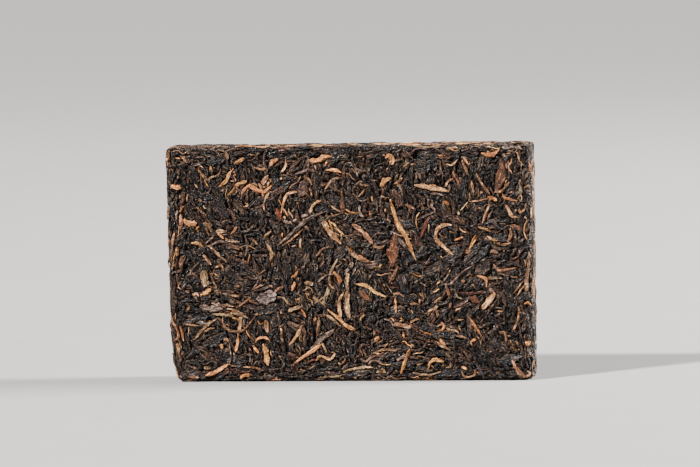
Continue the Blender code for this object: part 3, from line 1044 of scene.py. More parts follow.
@dataclass
class PressedSide:
    """The leaves of one side of the brick, laid by rule under those that are listed one by one.

    The share is the side's area as a share of the one that the rule is for.
    """

    mould: Mould
    rule: PressRule
    share: float = 1.0
    lots: dict[Kind, LeafLot] = field(default_factory=dict)
    laid: int = 0

    def lay(self, leaf: Leaf, depth: Numbers) -> None:
        """Puts a leaf in its place for good."""
        self.mould.press(leaf, depth)
        lot = self.lots.setdefault(leaf.kind, LeafLot())
        self.laid += 1
        lot.add(leaf, depth, self.laid * LOT_STEP % LOT_RANGE, self.mould.rng)

    def lay_seen(self, leaves: Iterable[Leaf]) -> None:
        """Lays the leaves that are listed one by one, the uppermost first."""
        for leaf in leaves:
            self.lay(leaf, self.mould.settle(leaf)[0])

    def lay_best(self, kind: Kind, place: Numbers, least_shown: float, deepest: float) -> None:
        """Tries a few leaves at a place, and lays the one that comes closest to the wall.

        Args:
            kind: What to lay.
            place: Where its middle goes.
            least_shown: The share of it that has to show.
            deepest: How deep under the wall the part that shows may lie.
        """
        best = None
        for _ in range(self.rule.tries):
            heading = self.mould.heading(place)
            leaf = drawn_leaf(kind, place, heading, self.rule.size, self.rule.coarse, self.mould.rng)
            depth, shown, deep = self.mould.settle(leaf)
            cost = deep - SHOWN_WORTH * shown
            if shown >= least_shown and deep <= deepest and (best is None or cost < best[0]):
                best = cost, leaf, depth
        if best:
            self.lay(*best[1:])

    def scatter(self, kind: Kind, count: int) -> None:
        """Lays leaves of one kind over the whole side, mostly on top."""
        for place in self.mould.any_places(int(count * self.share)):
            self.lay_best(kind, place, *ON_TOP)

    def fill(self, kind: Kind, until: float, limits: Pair) -> None:
        """Lays leaves of one kind within these limits where the side is bare, until only that share is."""
        for _ in range(MOST_ROUNDS):
            if self.mould.open_share() < until:
                break
            for place in self.mould.open_places(PLACES_A_ROUND):
                self.lay_best(kind, place, *limits)

    def build(self) -> None:
        """Lays every leaf of the side that is drawn at random."""
        self.scatter(Kind.WIDE, self.rule.wide)
        self.scatter(Kind.BUD, self.rule.buds)
        self.scatter(Kind.FLAKE, self.rule.flakes)
        self.scatter(Kind.STRAND, self.rule.strands)
        self.fill(Kind.TWISTED, self.rule.twisted_until, BETWEEN)
        self.fill(Kind.BIT, self.rule.bits_until, IN_GAPS)


def make_object(name: str, data: bpy.types.ID) -> bpy.types.Object:
    """A new object in the scene, at the origin, from a mesh, lamp or camera."""
    made = bpy.data.objects.new(name, data)
    bpy.context.scene.collection.objects.link(made)
    return made


def mesh_from(name: str, points: Numbers, corners: Numbers) -> bpy.types.Mesh:
    """A smooth mesh of triangles.

    Args:
        name: Its name.
        points: The points, in mm.
        corners: Three points for each triangle.

    Returns:
        The mesh, in metres.
    """
    mesh = bpy.data.meshes.new(name)
    mesh.vertices.add(len(points))
    mesh.vertices.foreach_set("co", (points * MM).astype(np.float32).ravel())
    if len(corners):
        mesh.loops.add(corners.size)
        mesh.loops.foreach_set("vertex_index", corners.astype(np.int32).ravel())
        mesh.polygons.add(len(corners))
        mesh.polygons.foreach_set("loop_start", np.arange(0, corners.size, 3, dtype=np.int32))
    mesh.update(calc_edges=True)
    mesh.shade_smooth()
    return mesh


def mesh_points(mesh: bpy.types.Mesh) -> Numbers:
    """The mesh's points in mm, one row of x, y and z for each."""
    points = np.zeros(len(mesh.vertices) * 3)
    mesh.vertices.foreach_get("co", points)
    return points.reshape(-1, 3) / MM


def move_points(mesh: bpy.types.Mesh, points: Numbers) -> None:
    """Moves the mesh's points to these places in mm."""
    mesh.vertices.foreach_set("co", (points * MM).ravel())
    mesh.update()


def write_attribute(mesh: bpy.types.Mesh, name: str, kind: str, values: Numbers) -> None:
    """Gives every point of the mesh a value or colour that a material can read."""
    made = mesh.attributes.new(name, kind, "POINT")
    key = {"FLOAT_COLOR": "color", "FLOAT_VECTOR": "vector"}.get(kind, "value")
    made.data.foreach_set(key, values.astype(np.float32).ravel())


def leaf_object(name: str, lots: Sequence[tuple[Panel, LeafLot]], form: BrickForm) -> bpy.types.Object:
    """One piece of the model from the leaves of one kind.

    Args:
        name: The piece's name.
        lots: The sides and their leaves.
        form: The brick.

    Returns:
        The piece, with the attributes that its finish reads.
    """
    points, corners, start = [], [], 0
    for panel, lot in lots:
        flat = np.concatenate(lot.flat)
        points.append(form.place(panel, flat[:, 0], flat[:, 1], flat[:, 2]))
        corners.append(np.concatenate(lot.corners) + start)
        start += len(flat)
    mesh = mesh_from(name, np.concatenate(points), np.concatenate(corners))
    marks = np.concatenate([part for _, lot in lots for part in lot.marks])
    tints = np.concatenate([part for _, lot in lots for part in lot.tints])
    write_attribute(mesh, "fibre", "FLOAT_VECTOR", marks)
    write_attribute(mesh, "tint", "FLOAT_COLOR", tints)
    return make_object(name, mesh)


# The types of a node tree's inputs
NUMBER = "NodeSocketFloat"
WHOLE = "NodeSocketInt"
VECTOR = "NodeSocketVector"
COLOUR = "NodeSocketColor"
SHAPE = "NodeSocketGeometry"
MATERIAL = "NodeSocketMaterial"


class Wiring:
    """Adds nodes to a tree and joins them, so that a pattern reads as a list of steps."""

    def __init__(self, tree: bpy.types.NodeTree) -> None:
        """Starts with a tree."""
        self.tree = tree

    def add(self, kind: str, inputs: dict | None = None, **settings: object) -> bpy.types.Node:
        """Adds one node.

        Args:
            kind: The node's type.
            inputs: A value or another node's socket for each named or numbered input.
            settings: The node's own settings.

        Returns:
            The node.
        """
        made = self.tree.nodes.new(kind)
        for name, value in settings.items():
            setattr(made, name, value)
        for key, value in (inputs or {}).items():
            if isinstance(value, bpy.types.NodeSocket):
                self.tree.links.new(value, made.inputs[key])
            else:
                made.inputs[key].default_value = value
        return made

    def math(self, operation: str, a: object, b: object = 0.0, clamp: bool = False) -> bpy.types.NodeSocket:
        """The result of one sum on numbers."""
        return self.add("ShaderNodeMath", {0: a, 1: b}, operation=operation, use_clamp=clamp).outputs[0]

    def vector(self, operation: str, a: object, b: object = (0.0, 0.0, 0.0)) -> bpy.types.NodeSocket:
        """The result of one sum on vectors."""
        return self.add("ShaderNodeVectorMath", {0: a, 1: b}, operation=operation).outputs[0]

    def scaled(self, a: object, factor: object) -> bpy.types.NodeSocket:
        """A vector times a number."""
        return self.add("ShaderNodeVectorMath", {0: a, "Scale": factor}, operation="SCALE").outputs[0]

    def spread(self, value: object, given: Pair, wanted: Pair) -> bpy.types.NodeSocket:
        """A value moved smoothly from one range to another, and held within it."""
        inputs = {0: value, 1: given[0], 2: given[1], 3: wanted[0], 4: wanted[1]}
        return self.add("ShaderNodeMapRange", inputs, interpolation_type="SMOOTHSTEP").outputs[0]

    def mask(self, value: object, limits: Pair) -> bpy.types.NodeSocket:
        """How far a value has come from the first limit to the second, from 0 to 1."""
        return self.spread(value, limits, (0.0, 1.0))

    def random(self, kind: str, least: object, most: object, seed: object) -> bpy.types.NodeSocket:
        """A random vector or number for each point, for the kinds FLOAT_VECTOR and FLOAT."""
        first = {"FLOAT_VECTOR": 0, "FLOAT": 2}[kind]
        inputs = {first: least, first + 1: most, "Seed": seed}
        return self.add("FunctionNodeRandomValue", inputs, data_type=kind).outputs[first // 2]

    def mix(self, share: object, a: object, b: object, blend: str = "MIX") -> bpy.types.NodeSocket:
        """Two colours mixed."""
        inputs = {0: share, 6: a, 7: b}
        return self.add("ShaderNodeMix", inputs, data_type="RGBA", blend_type=blend).outputs[2]

    def noise(self, at: object, scale: object, detail: float, rough: float = 0.55) -> bpy.types.NodeSocket:
        """A noise pattern from 0 to 1."""
        inputs = {"Vector": at, "Scale": scale, "Detail": detail, "Roughness": rough}
        return self.add("ShaderNodeTexNoise", inputs).outputs[0]


def group_ends(tree: bpy.types.NodeTree, sockets: Sequence[tuple[str, str, str]]) -> tuple:
    """Gives a node group its sockets.

    Args:
        tree: The group.
        sockets: For each its name, INPUT or OUTPUT, and its type.

    Returns:
        The nodes at the group's start and end.
    """
    for name, way, kind in sockets:
        tree.interface.new_socket(name=name, in_out=way, socket_type=kind)
    return tree.nodes.new("NodeGroupInput"), tree.nodes.new("NodeGroupOutput")


# The numbers that the shared pattern takes, each of which is a value of a finish too. Worn sets the painted
# highlight on crests and margins, and Edge the painted shade on a leaf's low sides
FIBRE_INPUTS = ("Contrast", "Worn", "Dust", "Mottle", "Fade", "Edge", "Fineness")

# Patterns that follow the leaf: their scale along it, across it and from leaf to leaf, and then their detail
# and roughness
STRANDS = ((0.30, 1.7, 1.0), 1.5, 0.5)
FOLDS = ((0.38, 1.0, 1.7), 2.0, 0.55)
WRINKLES = ((1.0, 1.1, 2.3), 2.0, 0.55)
STRETCHES = ((0.22, 0.45, 0.9), 2.0, 0.55)

# Patterns in space: their scale and detail
CLOUDS = (300.0, 3.0)
SPOTS = (1450.0, 2.0)
PATCHES = (210.0, 3.0)
SPECKS = (900.0, 1.0)

# Between which values of its pattern each mark comes in, and how far from the middle value creases reach
CREST_LIMITS = (0.53, 0.61)
FADE_LIMITS = (0.46, 0.62)
SIDE_SHADE_LIMITS = (0.45, 0.95)
SPOT_LIMITS = (0.47, 0.58)
PATCH_LIMITS = (0.42, 0.58)
MARGIN_HIGHLIGHT_LIMITS = (0.66, 0.90)
MARGIN_HIGHLIGHT_STRETCHES = (0.50, 0.58)
SPECK_LIMITS = (0.68, 0.74)
CREASE_WIDTH = 0.11
WRINKLE_WIDTH = 0.09

# How patterns lift or lower the tint, in steps of twice as light, and set the gloss: each from one range to
# another
CLOUD_LIFT = (0.32, 0.68), (-1.0, 1.0)
# The strand lift is partly the leaf's streaky tone and partly painted light: lighter on the strands that the
# bump raises, painted shade in the grooves between them
STRAND_LIFT = (0.36, 0.64), (-0.8, 0.8)
SPOT_GLOSS = (0.3, 0.7), (0.2, 1.0)

# What the tint is multiplied by in creases, where it is painted shade, and in the leaf's own dark spots;
# where it has faded; and at the edges of a leaf, where it is painted shade on its low sides
CREASE_SHADE_AND_SPOTS = (0.22, 0.17, 0.14)
FADED = (0.34, 0.28, 0.24)
PAINTED_SIDE_SHADE = (0.55, 0.36, 0.22)
CREASE_STRENGTH = 0.8

# The colour of the painted highlight on crests and margins, and its share in the mix with the tint, and the
# colour of dust. No leaf has more red than the lightest
PAINTED_HIGHLIGHT_COLOUR = (0.24, 0.15, 0.088, 1)
PAINTED_HIGHLIGHT_SHARE = 0.5
DUST_COLOUR = (0.29, 0.195, 0.13, 1)
LIGHTEST = 0.95

# The relief of crests, strands, creases, wrinkles and spots, for a depth in metres
HEIGHTS = (0.35, 1.8, -0.6, -0.35, 0.15)
RELIEF_DEPTH = 0.00045


def fibre_group() -> bpy.types.NodeTree:
    """The shared pattern of dry leaf: streaks along it, partly painted light, painted shade in creases and on
    low sides, painted highlights on crests and margins, and dust.
    """
    tree = bpy.data.node_groups.new("dry_leaf_fibre", "ShaderNodeTree")
    sockets = [("Tint", "INPUT", COLOUR)]
    sockets += [(name, "INPUT", NUMBER) for name in FIBRE_INPUTS]
    sockets += [("Colour", "OUTPUT", COLOUR), ("Gloss", "OUTPUT", NUMBER), ("Height", "OUTPUT", NUMBER)]
    start, end = group_ends(tree, sockets)
    wires = Wiring(tree)
    given = start.outputs
    fineness = wires.add("ShaderNodeCombineXYZ", {0: 1.0, 1: given["Fineness"], 2: 1.0}).outputs[0]
    fibre = wires.add("ShaderNodeAttribute", attribute_name="fibre").outputs["Vector"]
    fibre = wires.vector("MULTIPLY", fibre, fineness)
    at = wires.add("ShaderNodeTexCoord").outputs["Object"]
    margin = wires.add("ShaderNodeAttribute", attribute_name="tint").outputs["Alpha"]

    def followed(scale: Sequence[float], detail: float, rough: float) -> bpy.types.NodeSocket:
        """A pattern that follows the leaf."""
        return wires.noise(wires.vector("MULTIPLY", fibre, scale), 1.0, detail, rough)

    def line(pattern: bpy.types.NodeSocket, width: float) -> bpy.types.NodeSocket:
        """One along the lines where a pattern crosses its middle, and 0 beside them."""
        off = wires.math("ABSOLUTE", wires.math("SUBTRACT", pattern, 0.5))
        return wires.spread(off, (0.0, width), (1.0, 0.0))

    def tinted(factor: Sequence[float]) -> bpy.types.NodeSocket:
        """The leaf's own tint, multiplied by a colour."""
        return wires.vector("MULTIPLY", given["Tint"], factor)

    def strength(mask: bpy.types.NodeSocket, name: str) -> bpy.types.NodeSocket:
        """A mask, as strong as the input of that name says."""
        return wires.math("MULTIPLY", mask, given[name], clamp=True)

    strands, stretch = followed(*STRANDS), followed(*STRETCHES)
    spots = wires.noise(at, *SPOTS)
    crest = wires.mask(strands, CREST_LIMITS)
    crease, wrinkle = line(followed(*FOLDS), CREASE_WIDTH), line(followed(*WRINKLES), WRINKLE_WIDTH)
    lift = wires.spread(wires.noise(at, *CLOUDS), *CLOUD_LIFT)
    # Partly painted light: the strands that the bump raises are lighter, and the grooves between them darker
    lift = wires.math("ADD", lift, wires.spread(strands, *STRAND_LIFT))
    level = wires.math("POWER", 2.0, wires.math("MULTIPLY", lift, given["Contrast"]))
    red = wires.add("ShaderNodeSeparateColor", {0: given["Tint"]}).outputs[0]
    level = wires.math("MINIMUM", level, wires.math("DIVIDE", LIGHTEST, red))
    shade = wires.scaled(given["Tint"], level)
    shade = wires.mix(strength(wires.mask(stretch, FADE_LIMITS), "Fade"), shade, tinted(FADED))
    # Painted shade: a leaf turns darker and warmer towards its edges, on its low sides
    shade = wires.mix(strength(wires.mask(margin, SIDE_SHADE_LIMITS), "Edge"), shade, tinted(PAINTED_SIDE_SHADE))
    shade = wires.mix(strength(wires.mask(spots, SPOT_LIMITS), "Mottle"), shade, tinted(CREASE_SHADE_AND_SPOTS))
    # Painted shade: the creases and wrinkles, which the bump sinks, are darkened
    cut = wires.math("MULTIPLY", wires.math("MAXIMUM", crease, wrinkle), CREASE_STRENGTH)
    shade = wires.mix(cut, shade, tinted(CREASE_SHADE_AND_SPOTS))
    # Painted highlight: pale lines along the raised crests and along the margins of a leaf, where light
    # catches them. The input Worn sets how strong they are
    patchy = wires.mask(wires.noise(at, *PATCHES), PATCH_LIMITS)
    margin_highlight = wires.math("MULTIPLY", wires.mask(margin, MARGIN_HIGHLIGHT_LIMITS), wires.mask(stretch, MARGIN_HIGHLIGHT_STRETCHES))
    lines = wires.math("MAXIMUM", wires.math("MULTIPLY", crest, patchy), margin_highlight)
    pale = wires.vector("MAXIMUM", wires.mix(PAINTED_HIGHLIGHT_SHARE, given["Tint"], PAINTED_HIGHLIGHT_COLOUR), given["Tint"])
    shade = wires.mix(strength(lines, "Worn"), shade, pale)
    specks = wires.mask(wires.noise(at, *SPECKS), SPECK_LIMITS)
    tree.links.new(wires.mix(strength(specks, "Dust"), shade, DUST_COLOUR), end.inputs["Colour"])
    dull = wires.math("MULTIPLY", crease, CREASE_STRENGTH)
    gloss = wires.math("SUBTRACT", wires.spread(spots, *SPOT_GLOSS), dull)
    tree.links.new(gloss, end.inputs["Gloss"])
    rise = 0.0
    for part, height in zip((crest, strands, crease, wrinkle, spots), HEIGHTS):
        rise = wires.math("ADD", rise, wires.math("MULTIPLY", part, height))
    tree.links.new(rise, end.inputs["Height"])
    return tree


@dataclass(frozen=True)
class LeafFinish:
    """The finish of one kind of dry leaf. Its colour comes from each leaf's own tint.

    Rough is the range of its roughness. Contrast, worn, dust, mottle, fade and edge are how strong each mark
    of the shared pattern is: worn is that of the painted highlight on crests and margins, and edge that of
    the painted shade on a leaf's low sides. Fineness is a factor on that pattern's scale across the leaf.
    """

    name: str
    rough: Pair
    contrast: float
    worn: float
    dust: float
    mottle: float
    fade: float = 0.0
    edge: float = 0.0
    fineness: float = 1.0
    specular: float = 0.19
    relief: float = 1.0

    def material(self, fibre: bpy.types.NodeTree) -> bpy.types.Material:
        """The finish as a material.

        Args:
            fibre: The shared pattern of dry leaf.

        Returns:
            The material.
        """
        made = bpy.data.materials.new(self.name)
        made.use_nodes = True
        tree = made.node_tree
        shader = tree.nodes["Principled BSDF"]
        shader.inputs["Specular IOR Level"].default_value = self.specular
        wires = Wiring(tree)
        tint = wires.add("ShaderNodeAttribute", attribute_name="tint").outputs["Color"]
        pattern = tree.nodes.new("ShaderNodeGroup")
        pattern.node_tree = fibre
        tree.links.new(tint, pattern.inputs["Tint"])
        for name in FIBRE_INPUTS:
            pattern.inputs[name].default_value = getattr(self, name.lower())
        tree.links.new(pattern.outputs["Colour"], shader.inputs["Base Color"])
        rough = wires.spread(pattern.outputs["Gloss"], (0.0, 1.0), (self.rough[1], self.rough[0]))
        tree.links.new(rough, shader.inputs["Roughness"])
        heights = {"Height": pattern.outputs["Height"], "Strength": self.relief, "Distance": RELIEF_DEPTH}
        bump = wires.add("ShaderNodeBump", heights)
        tree.links.new(bump.outputs["Normal"], shader.inputs["Normal"])
        return made


FINISHES = {
    Kind.WIDE: LeafFinish("wide_leaf", rough=(0.22, 0.42), contrast=1.2, worn=0.45, dust=0.25, mottle=0.2),
    Kind.TWISTED: LeafFinish(
        "twisted_leaf", rough=(0.22, 0.44), contrast=1.3, worn=0.50, dust=0.30, mottle=0.2
    ),
    Kind.BIT: LeafFinish(
        "leaf_bit", rough=(0.25, 0.48), contrast=1.3, worn=0.45, dust=0.30, mottle=0.3, fade=0.2, edge=0.3
    ),
    Kind.STRAND: LeafFinish(
        "leaf_strand", rough=(0.30, 0.55), contrast=1.0, worn=0.3, dust=0.3, mottle=0.3, fade=0.4, relief=0.6
    ),
    Kind.BUD: LeafFinish(
        "bud", rough=(0.32, 0.60), contrast=1.8, worn=0.3, dust=0.12, mottle=0.6, fade=0.6, edge=1.0,
        fineness=0.8, specular=0.22, relief=1.2,
    ),
    Kind.FLAKE: LeafFinish(
        "red_flake", rough=(0.28, 0.50), contrast=1.0, worn=0.15, dust=0.15, mottle=0.3, fade=0.2, edge=0.4,
        specular=0.20,
    ),
}
CORE_FINISH = LeafFinish(
    "inner_tea", rough=(0.55, 0.80), contrast=0.6, worn=0.1, dust=0.3, mottle=0.3, specular=0.15
)
CRUMB_FINISH = LeafFinish(
    "tea_crumb", rough=(0.30, 0.60), contrast=0.8, worn=0.3, dust=0.2, mottle=0.3, specular=0.30, relief=0.8
)


def new_shape_tree(name: str, sockets: dict[str, str]) -> tuple:
    """An empty Geometry Nodes tree with named inputs.

    Args:
        name: The tree's name.
        sockets: The type of each input after the geometry, by its name.

    Returns:
        The tree, its wiring, and the nodes at its start and end.
    """
    tree = bpy.data.node_groups.new(name, "GeometryNodeTree")
    ends = [("Geometry", "INPUT", SHAPE)]
    ends += [(label, "INPUT", kind) for label, kind in sockets.items()]
    ends += [("Geometry", "OUTPUT", SHAPE)]
    start, end = group_ends(tree, ends)
    return tree, Wiring(tree), start, end


def close_tree(wires: Wiring, shape: bpy.types.NodeSocket, end: bpy.types.Node, finish: object) -> None:
    """Ends a Geometry Nodes tree: the shape goes out smooth and with its material.

    Args:
        wires: The tree's wiring.
        shape: The finished shape.
        end: The node at the tree's end.
        finish: The input that holds the material.
    """
    smooth = wires.add("GeometryNodeSetShadeSmooth", {"Geometry": shape})
    dressed = wires.add("GeometryNodeSetMaterial", {"Geometry": smooth.outputs[0], "Material": finish})
    wires.tree.links.new(dressed.outputs[0], end.inputs["Geometry"])


def apply_tree(piece: bpy.types.Object, tree: bpy.types.NodeTree, values: dict[str, object]) -> None:
    """Runs a Geometry Nodes tree on a piece and keeps the plain mesh.

    Args:
        piece: The object whose mesh goes in and is replaced.
        tree: The tree.
        values: A value for each named input.
    """
    modifier = piece.modifiers.new(tree.name, "NODES")
    modifier.node_group = tree
    known = {
        item.name: item.identifier
        for item in tree.interface.items_tree
        if item.item_type == "SOCKET" and item.in_out == "INPUT"
    }
    for name, value in values.items():
        modifier[known[name]] = value
    bpy.context.view_layer.update()
    graph = bpy.context.evaluated_depsgraph_get()
    mesh = bpy.data.meshes.new_from_object(piece.evaluated_get(graph))
    piece.modifiers.remove(modifier)
    old = piece.data
    piece.data = mesh
    bpy.data.meshes.remove(old)
    mesh.name = piece.name


# The detail of the core's skin, and the scale of its fibre pattern
ROLL_DETAIL = 3.0
CORE_FIBRE = 0.8


@dataclass
class Core:
    """The dark mass of pressed leaf behind those that show: a block with round edges and a rough skin.

    The inset is how far it lies under the pressed faces, and the roll is how much its skin rises and falls,
    both in mm.
    """

    form: BrickForm
    inset: float = 1.5
    cells_a_mm: float = 0.45
    roll: float = 0.5
    roll_scale: float = 380.0
    tint: Tint = Tint.BLACK

    def tree(self) -> bpy.types.NodeTree:
        """The Geometry Nodes tree: a cut box, pulled to a rounded one and then roughened."""
        sockets = {
            "Size": VECTOR,
            "Cells Wide": WHOLE,
            "Cells Thick": WHOLE,
            "Cells High": WHOLE,
            "Edge Radius": NUMBER,
            "Roll": NUMBER,
            "Roll Scale": NUMBER,
            "Finish": MATERIAL,
        }
        tree, wires, start, end = new_shape_tree("rounded_core", sockets)
        given = start.outputs
        cells = {
            "Size": given["Size"],
            "Vertices X": given["Cells Wide"],
            "Vertices Y": given["Cells Thick"],
            "Vertices Z": given["Cells High"],
        }
        box = wires.add("GeometryNodeMeshCube", cells)
        place = wires.add("GeometryNodeInputPosition").outputs[0]
        inner = wires.vector("SUBTRACT", wires.scaled(given["Size"], 0.5), given["Edge Radius"])
        held = wires.vector("MINIMUM", place, inner)
        held = wires.vector("MAXIMUM", held, wires.scaled(inner, -1.0))
        way = wires.vector("NORMALIZE", wires.vector("SUBTRACT", place, held))
        rough = wires.math("SUBTRACT", wires.noise(place, given["Roll Scale"], ROLL_DETAIL), 0.5)
        reach = wires.math("ADD", given["Edge Radius"], wires.math("MULTIPLY", rough, given["Roll"]))
        moved = wires.vector("ADD", held, wires.scaled(way, reach))
        shaped = wires.add("GeometryNodeSetPosition", {"Geometry": box.outputs["Mesh"], "Position": moved})
        real = wires.add("GeometryNodeRealizeInstances", {"Geometry": shaped.outputs[0]})
        close_tree(wires, real.outputs[0], end, given["Finish"])
        return tree

    def build(self, finish: bpy.types.Material) -> bpy.types.Object:
        """Makes the core.

        Args:
            finish: Its material.

        Returns:
            The piece.
        """
        piece = make_object("tea_core", bpy.data.meshes.new("tea_core"))
        size = 2 * (self.form.half - self.inset)
        cells = [int(length * self.cells_a_mm) + 2 for length in size]
        values = {
            "Size": tuple(size * MM),
            "Cells Wide": cells[0],
            "Cells Thick": cells[1],
            "Cells High": cells[2],
            "Edge Radius": self.form.edge_radius * MM,
            "Roll": self.roll * MM,
            "Roll Scale": self.roll_scale,
            "Finish": finish,
        }
        apply_tree(piece, self.tree(), values)
        placed = self.form.worn(mesh_points(piece.data) + self.form.middle)
        move_points(piece.data, placed)
        colours = np.tile((*self.tint.value, 0.0), (len(placed), 1))
        write_attribute(piece.data, "tint", "FLOAT_COLOR", colours)
        write_attribute(piece.data, "fibre", "FLOAT_VECTOR", placed * CORE_FIBRE)
        return piece


# A crumb starts as a rough ball of this radius, with the noise's middle value taken off its lumps. Then come
# the least and most of its width, length and height, as shares of its size, and of its turn in radians
CRUMB_BALL = {"Radius": 0.5, "Subdivisions": 1}
NOISE_MIDDLE = (0.5, 0.5, 0.5)
CRUMB_LEAST = (0.5, 0.7, 0.3)
CRUMB_MOST = (1.0, 1.6, 0.7)
NO_TURN = (0, 0, 0)
FULL_TURN = (6.28, 6.28, 6.28)


@dataclass
class Crumbs:
    """Broken crumbs of leaf that lie in the gaps and stick to the faces.

    Smallest and largest are their sizes, and sunk is how deep their middles lie under the leaf there, in mm.
    """

    form: BrickForm
    rng: np.random.Generator
    smallest: float = 0.22
    largest: float = 0.62
    sunk: float = 0.12
    lump_scale: float = 3000.0
    seed: int = 5

    def tree(self) -> bpy.types.NodeTree:
        """The Geometry Nodes tree: a lumpy crumb on each point, turned and sized at random, made real."""
        sockets = {
            "Smallest": NUMBER,
            "Largest": NUMBER,
            "Lump Scale": NUMBER,
            "Lump Depth": NUMBER,
            "Seed": WHOLE,
            "Finish": MATERIAL,
        }
        tree, wires, start, end = new_shape_tree("tea_crumbs", sockets)
        given = start.outputs
        seed = given["Seed"]
        ball = wires.add("GeometryNodeMeshIcoSphere", CRUMB_BALL)
        form = wires.random("FLOAT_VECTOR", CRUMB_LEAST, CRUMB_MOST, seed)
        size = wires.random("FLOAT", given["Smallest"], given["Largest"], seed)
        crumbs = {
            "Points": given["Geometry"],
            "Instance": ball.outputs["Mesh"],
            "Rotation": wires.random("FLOAT_VECTOR", NO_TURN, FULL_TURN, seed),
            "Scale": wires.scaled(form, size),
        }
        laid = wires.add("GeometryNodeInstanceOnPoints", crumbs)
        real = wires.add("GeometryNodeRealizeInstances", {"Geometry": laid.outputs[0]})
        place = wires.add("GeometryNodeInputPosition").outputs[0]
        lump = wires.add("ShaderNodeTexNoise", {"Vector": place, "Scale": given["Lump Scale"]})
        lumps = wires.vector("SUBTRACT", lump.outputs["Color"], NOISE_MIDDLE)
        push = wires.scaled(lumps, given["Lump Depth"])
        shaped = wires.add("GeometryNodeSetPosition", {"Geometry": real.outputs[0], "Offset": push})
        close_tree(wires, shaped.outputs[0], end, given["Finish"])
        return tree

    def build(self, moulds: Sequence[tuple[Mould, int]], finish: bpy.types.Material) -> bpy.types.Object:
        """Makes the crumbs.

        Args:
            moulds: The sides, each with how many crumbs it gets.
            finish: Their material.

        Returns:
            The piece.
        """
        found = []
        for mould, count in moulds:
            u, v = mould.any_places(count).T
            depth = mould.top[mould.cells(u, v)] + self.sunk
            found.append(self.form.place(mould.panel, u, v, depth))
        places = np.concatenate(found)
        piece = make_object("tea_crumbs", mesh_from("tea_crumbs", places, np.zeros((0, 3))))
        tints = np.array([(*drawn_tint(Kind.BIT, self.rng), 0.0) for _ in places])
        write_attribute(piece.data, "tint", "FLOAT_COLOR", tints)
        values = {
            "Smallest": self.smallest * MM,
            "Largest": self.largest * MM,
            "Lump Scale": self.lump_scale,
            "Lump Depth": self.smallest * MM,
            "Seed": self.seed,
            "Finish": finish,
        }
        apply_tree(piece, self.tree(), values)
        points = mesh_points(piece.data)
        points[:, 2] = np.maximum(points[:, 2], self.form.low[2])
        move_points(piece.data, points)
        write_attribute(piece.data, "fibre", "FLOAT_VECTOR", points)
        return piece


# The brick's seed, and what is added to it for the listed pieces and for the crumbs
SEED = 21
SEEN_DRAW = 99
CRUMB_DRAW = 77

# Crumbs for each cell of the front's grid. The other sides have fewer by this factor
CRUMBS_A_CELL = 0.011
FEWER_CRUMBS = 3


@dataclass
class TeaBrick:
    """The whole brick: its core, the leaves of its six sides, and the crumbs."""

    form: BrickForm
    studio: "Studio"
    seed: int = SEED
    sides: dict[Side, PressedSide] = field(default_factory=dict)

    def side(self, side: Side, order: int) -> PressedSide:
        """One side with nothing laid on it.

        Args:
            side: Which side.
            order: Its place in the order of making, which sets its seed.

        Returns:
            The side.
        """
        mould = Mould(self.form, side, np.random.default_rng([self.seed, order]))
        if side in RULES:
            return PressedSide(mould, RULES[side])
        return PressedSide(mould, RIM_RULE, mould.area * mould.cell**2 / RIM_AREA)

    def press(self) -> None:
        """Lays the leaves of every side."""
        for order, side in enumerate(Side):
            made = self.side(side, order)
            if side is Side.FRONT:
                rng = np.random.default_rng([self.seed, SEEN_DRAW])
                made.lay_seen([laid_leaf(piece, self.form, self.studio, rng) for piece in SEEN_PIECES])
            made.build()
            self.sides[side] = made
            counts = {kind.value: lot.triangles() for kind, lot in made.lots.items()}
            bare = made.mould.open_share()
            log.info("%s: %d leaves, bare %.3f, triangles %s", side.value, made.laid, bare, counts)

    def leaf_pieces(self, fibre: bpy.types.NodeTree) -> list[bpy.types.Object]:
        """Makes a piece of each kind of leaf on the front, on the back and on the narrow sides together."""
        rim = [side for side in Side if side not in (Side.FRONT, Side.BACK)]
        groups = {"front": [Side.FRONT], "back": [Side.BACK], "rim": rim}
        finishes = {kind: finish.material(fibre) for kind, finish in FINISHES.items()}
        made = []
        for place, sides in groups.items():
            for kind in Kind:
                held = [self.sides[side] for side in sides]
                lots = [(part.mould.panel, part.lots[kind]) for part in held if kind in part.lots]
                if lots:
                    piece = leaf_object(f"{place}_{kind.value}", lots, self.form)
                    piece.data.materials.append(finishes[kind])
                    made.append(piece)
        return made

    def crumbs(self, finish: bpy.types.Material) -> bpy.types.Object:
        """Makes the crumbs of all sides."""
        moulds = []
        for side, part in self.sides.items():
            share = CRUMBS_A_CELL if side is Side.FRONT else CRUMBS_A_CELL / FEWER_CRUMBS
            moulds.append((part.mould, int(part.mould.area * share)))
        return Crumbs(self.form, np.random.default_rng([self.seed, CRUMB_DRAW])).build(moulds, finish)

    def pieces(self) -> list[bpy.types.Object]:
        """Makes the finished pieces.

        Returns:
            Every piece, dressed, with the core first.
        """
        fibre = fibre_group()
        leaves = self.leaf_pieces(fibre)
        core = Core(self.form).build(CORE_FINISH.material(fibre))
        crumbs = self.crumbs(CRUMB_FINISH.material(fibre))
        return [core, crumbs, *leaves]


# The floor: its width in metres, its cells each way, and its grain's scale, detail and two shades
FLOOR_SIZE = 30
FLOOR_CELLS = 8
FLOOR_GRAIN = (40.0, 4.0)
FLOOR_DARK = (0.188, 0.190, 0.187, 1)
FLOOR_LIGHT = (0.208, 0.210, 0.207, 1)
FLOOR_ROUGH = 0.8
FLOOR_SPECULAR = 0.1

SKY_COLOUR = (1.0, 0.98, 0.96, 1)
SKY_STRENGTH = 0.057


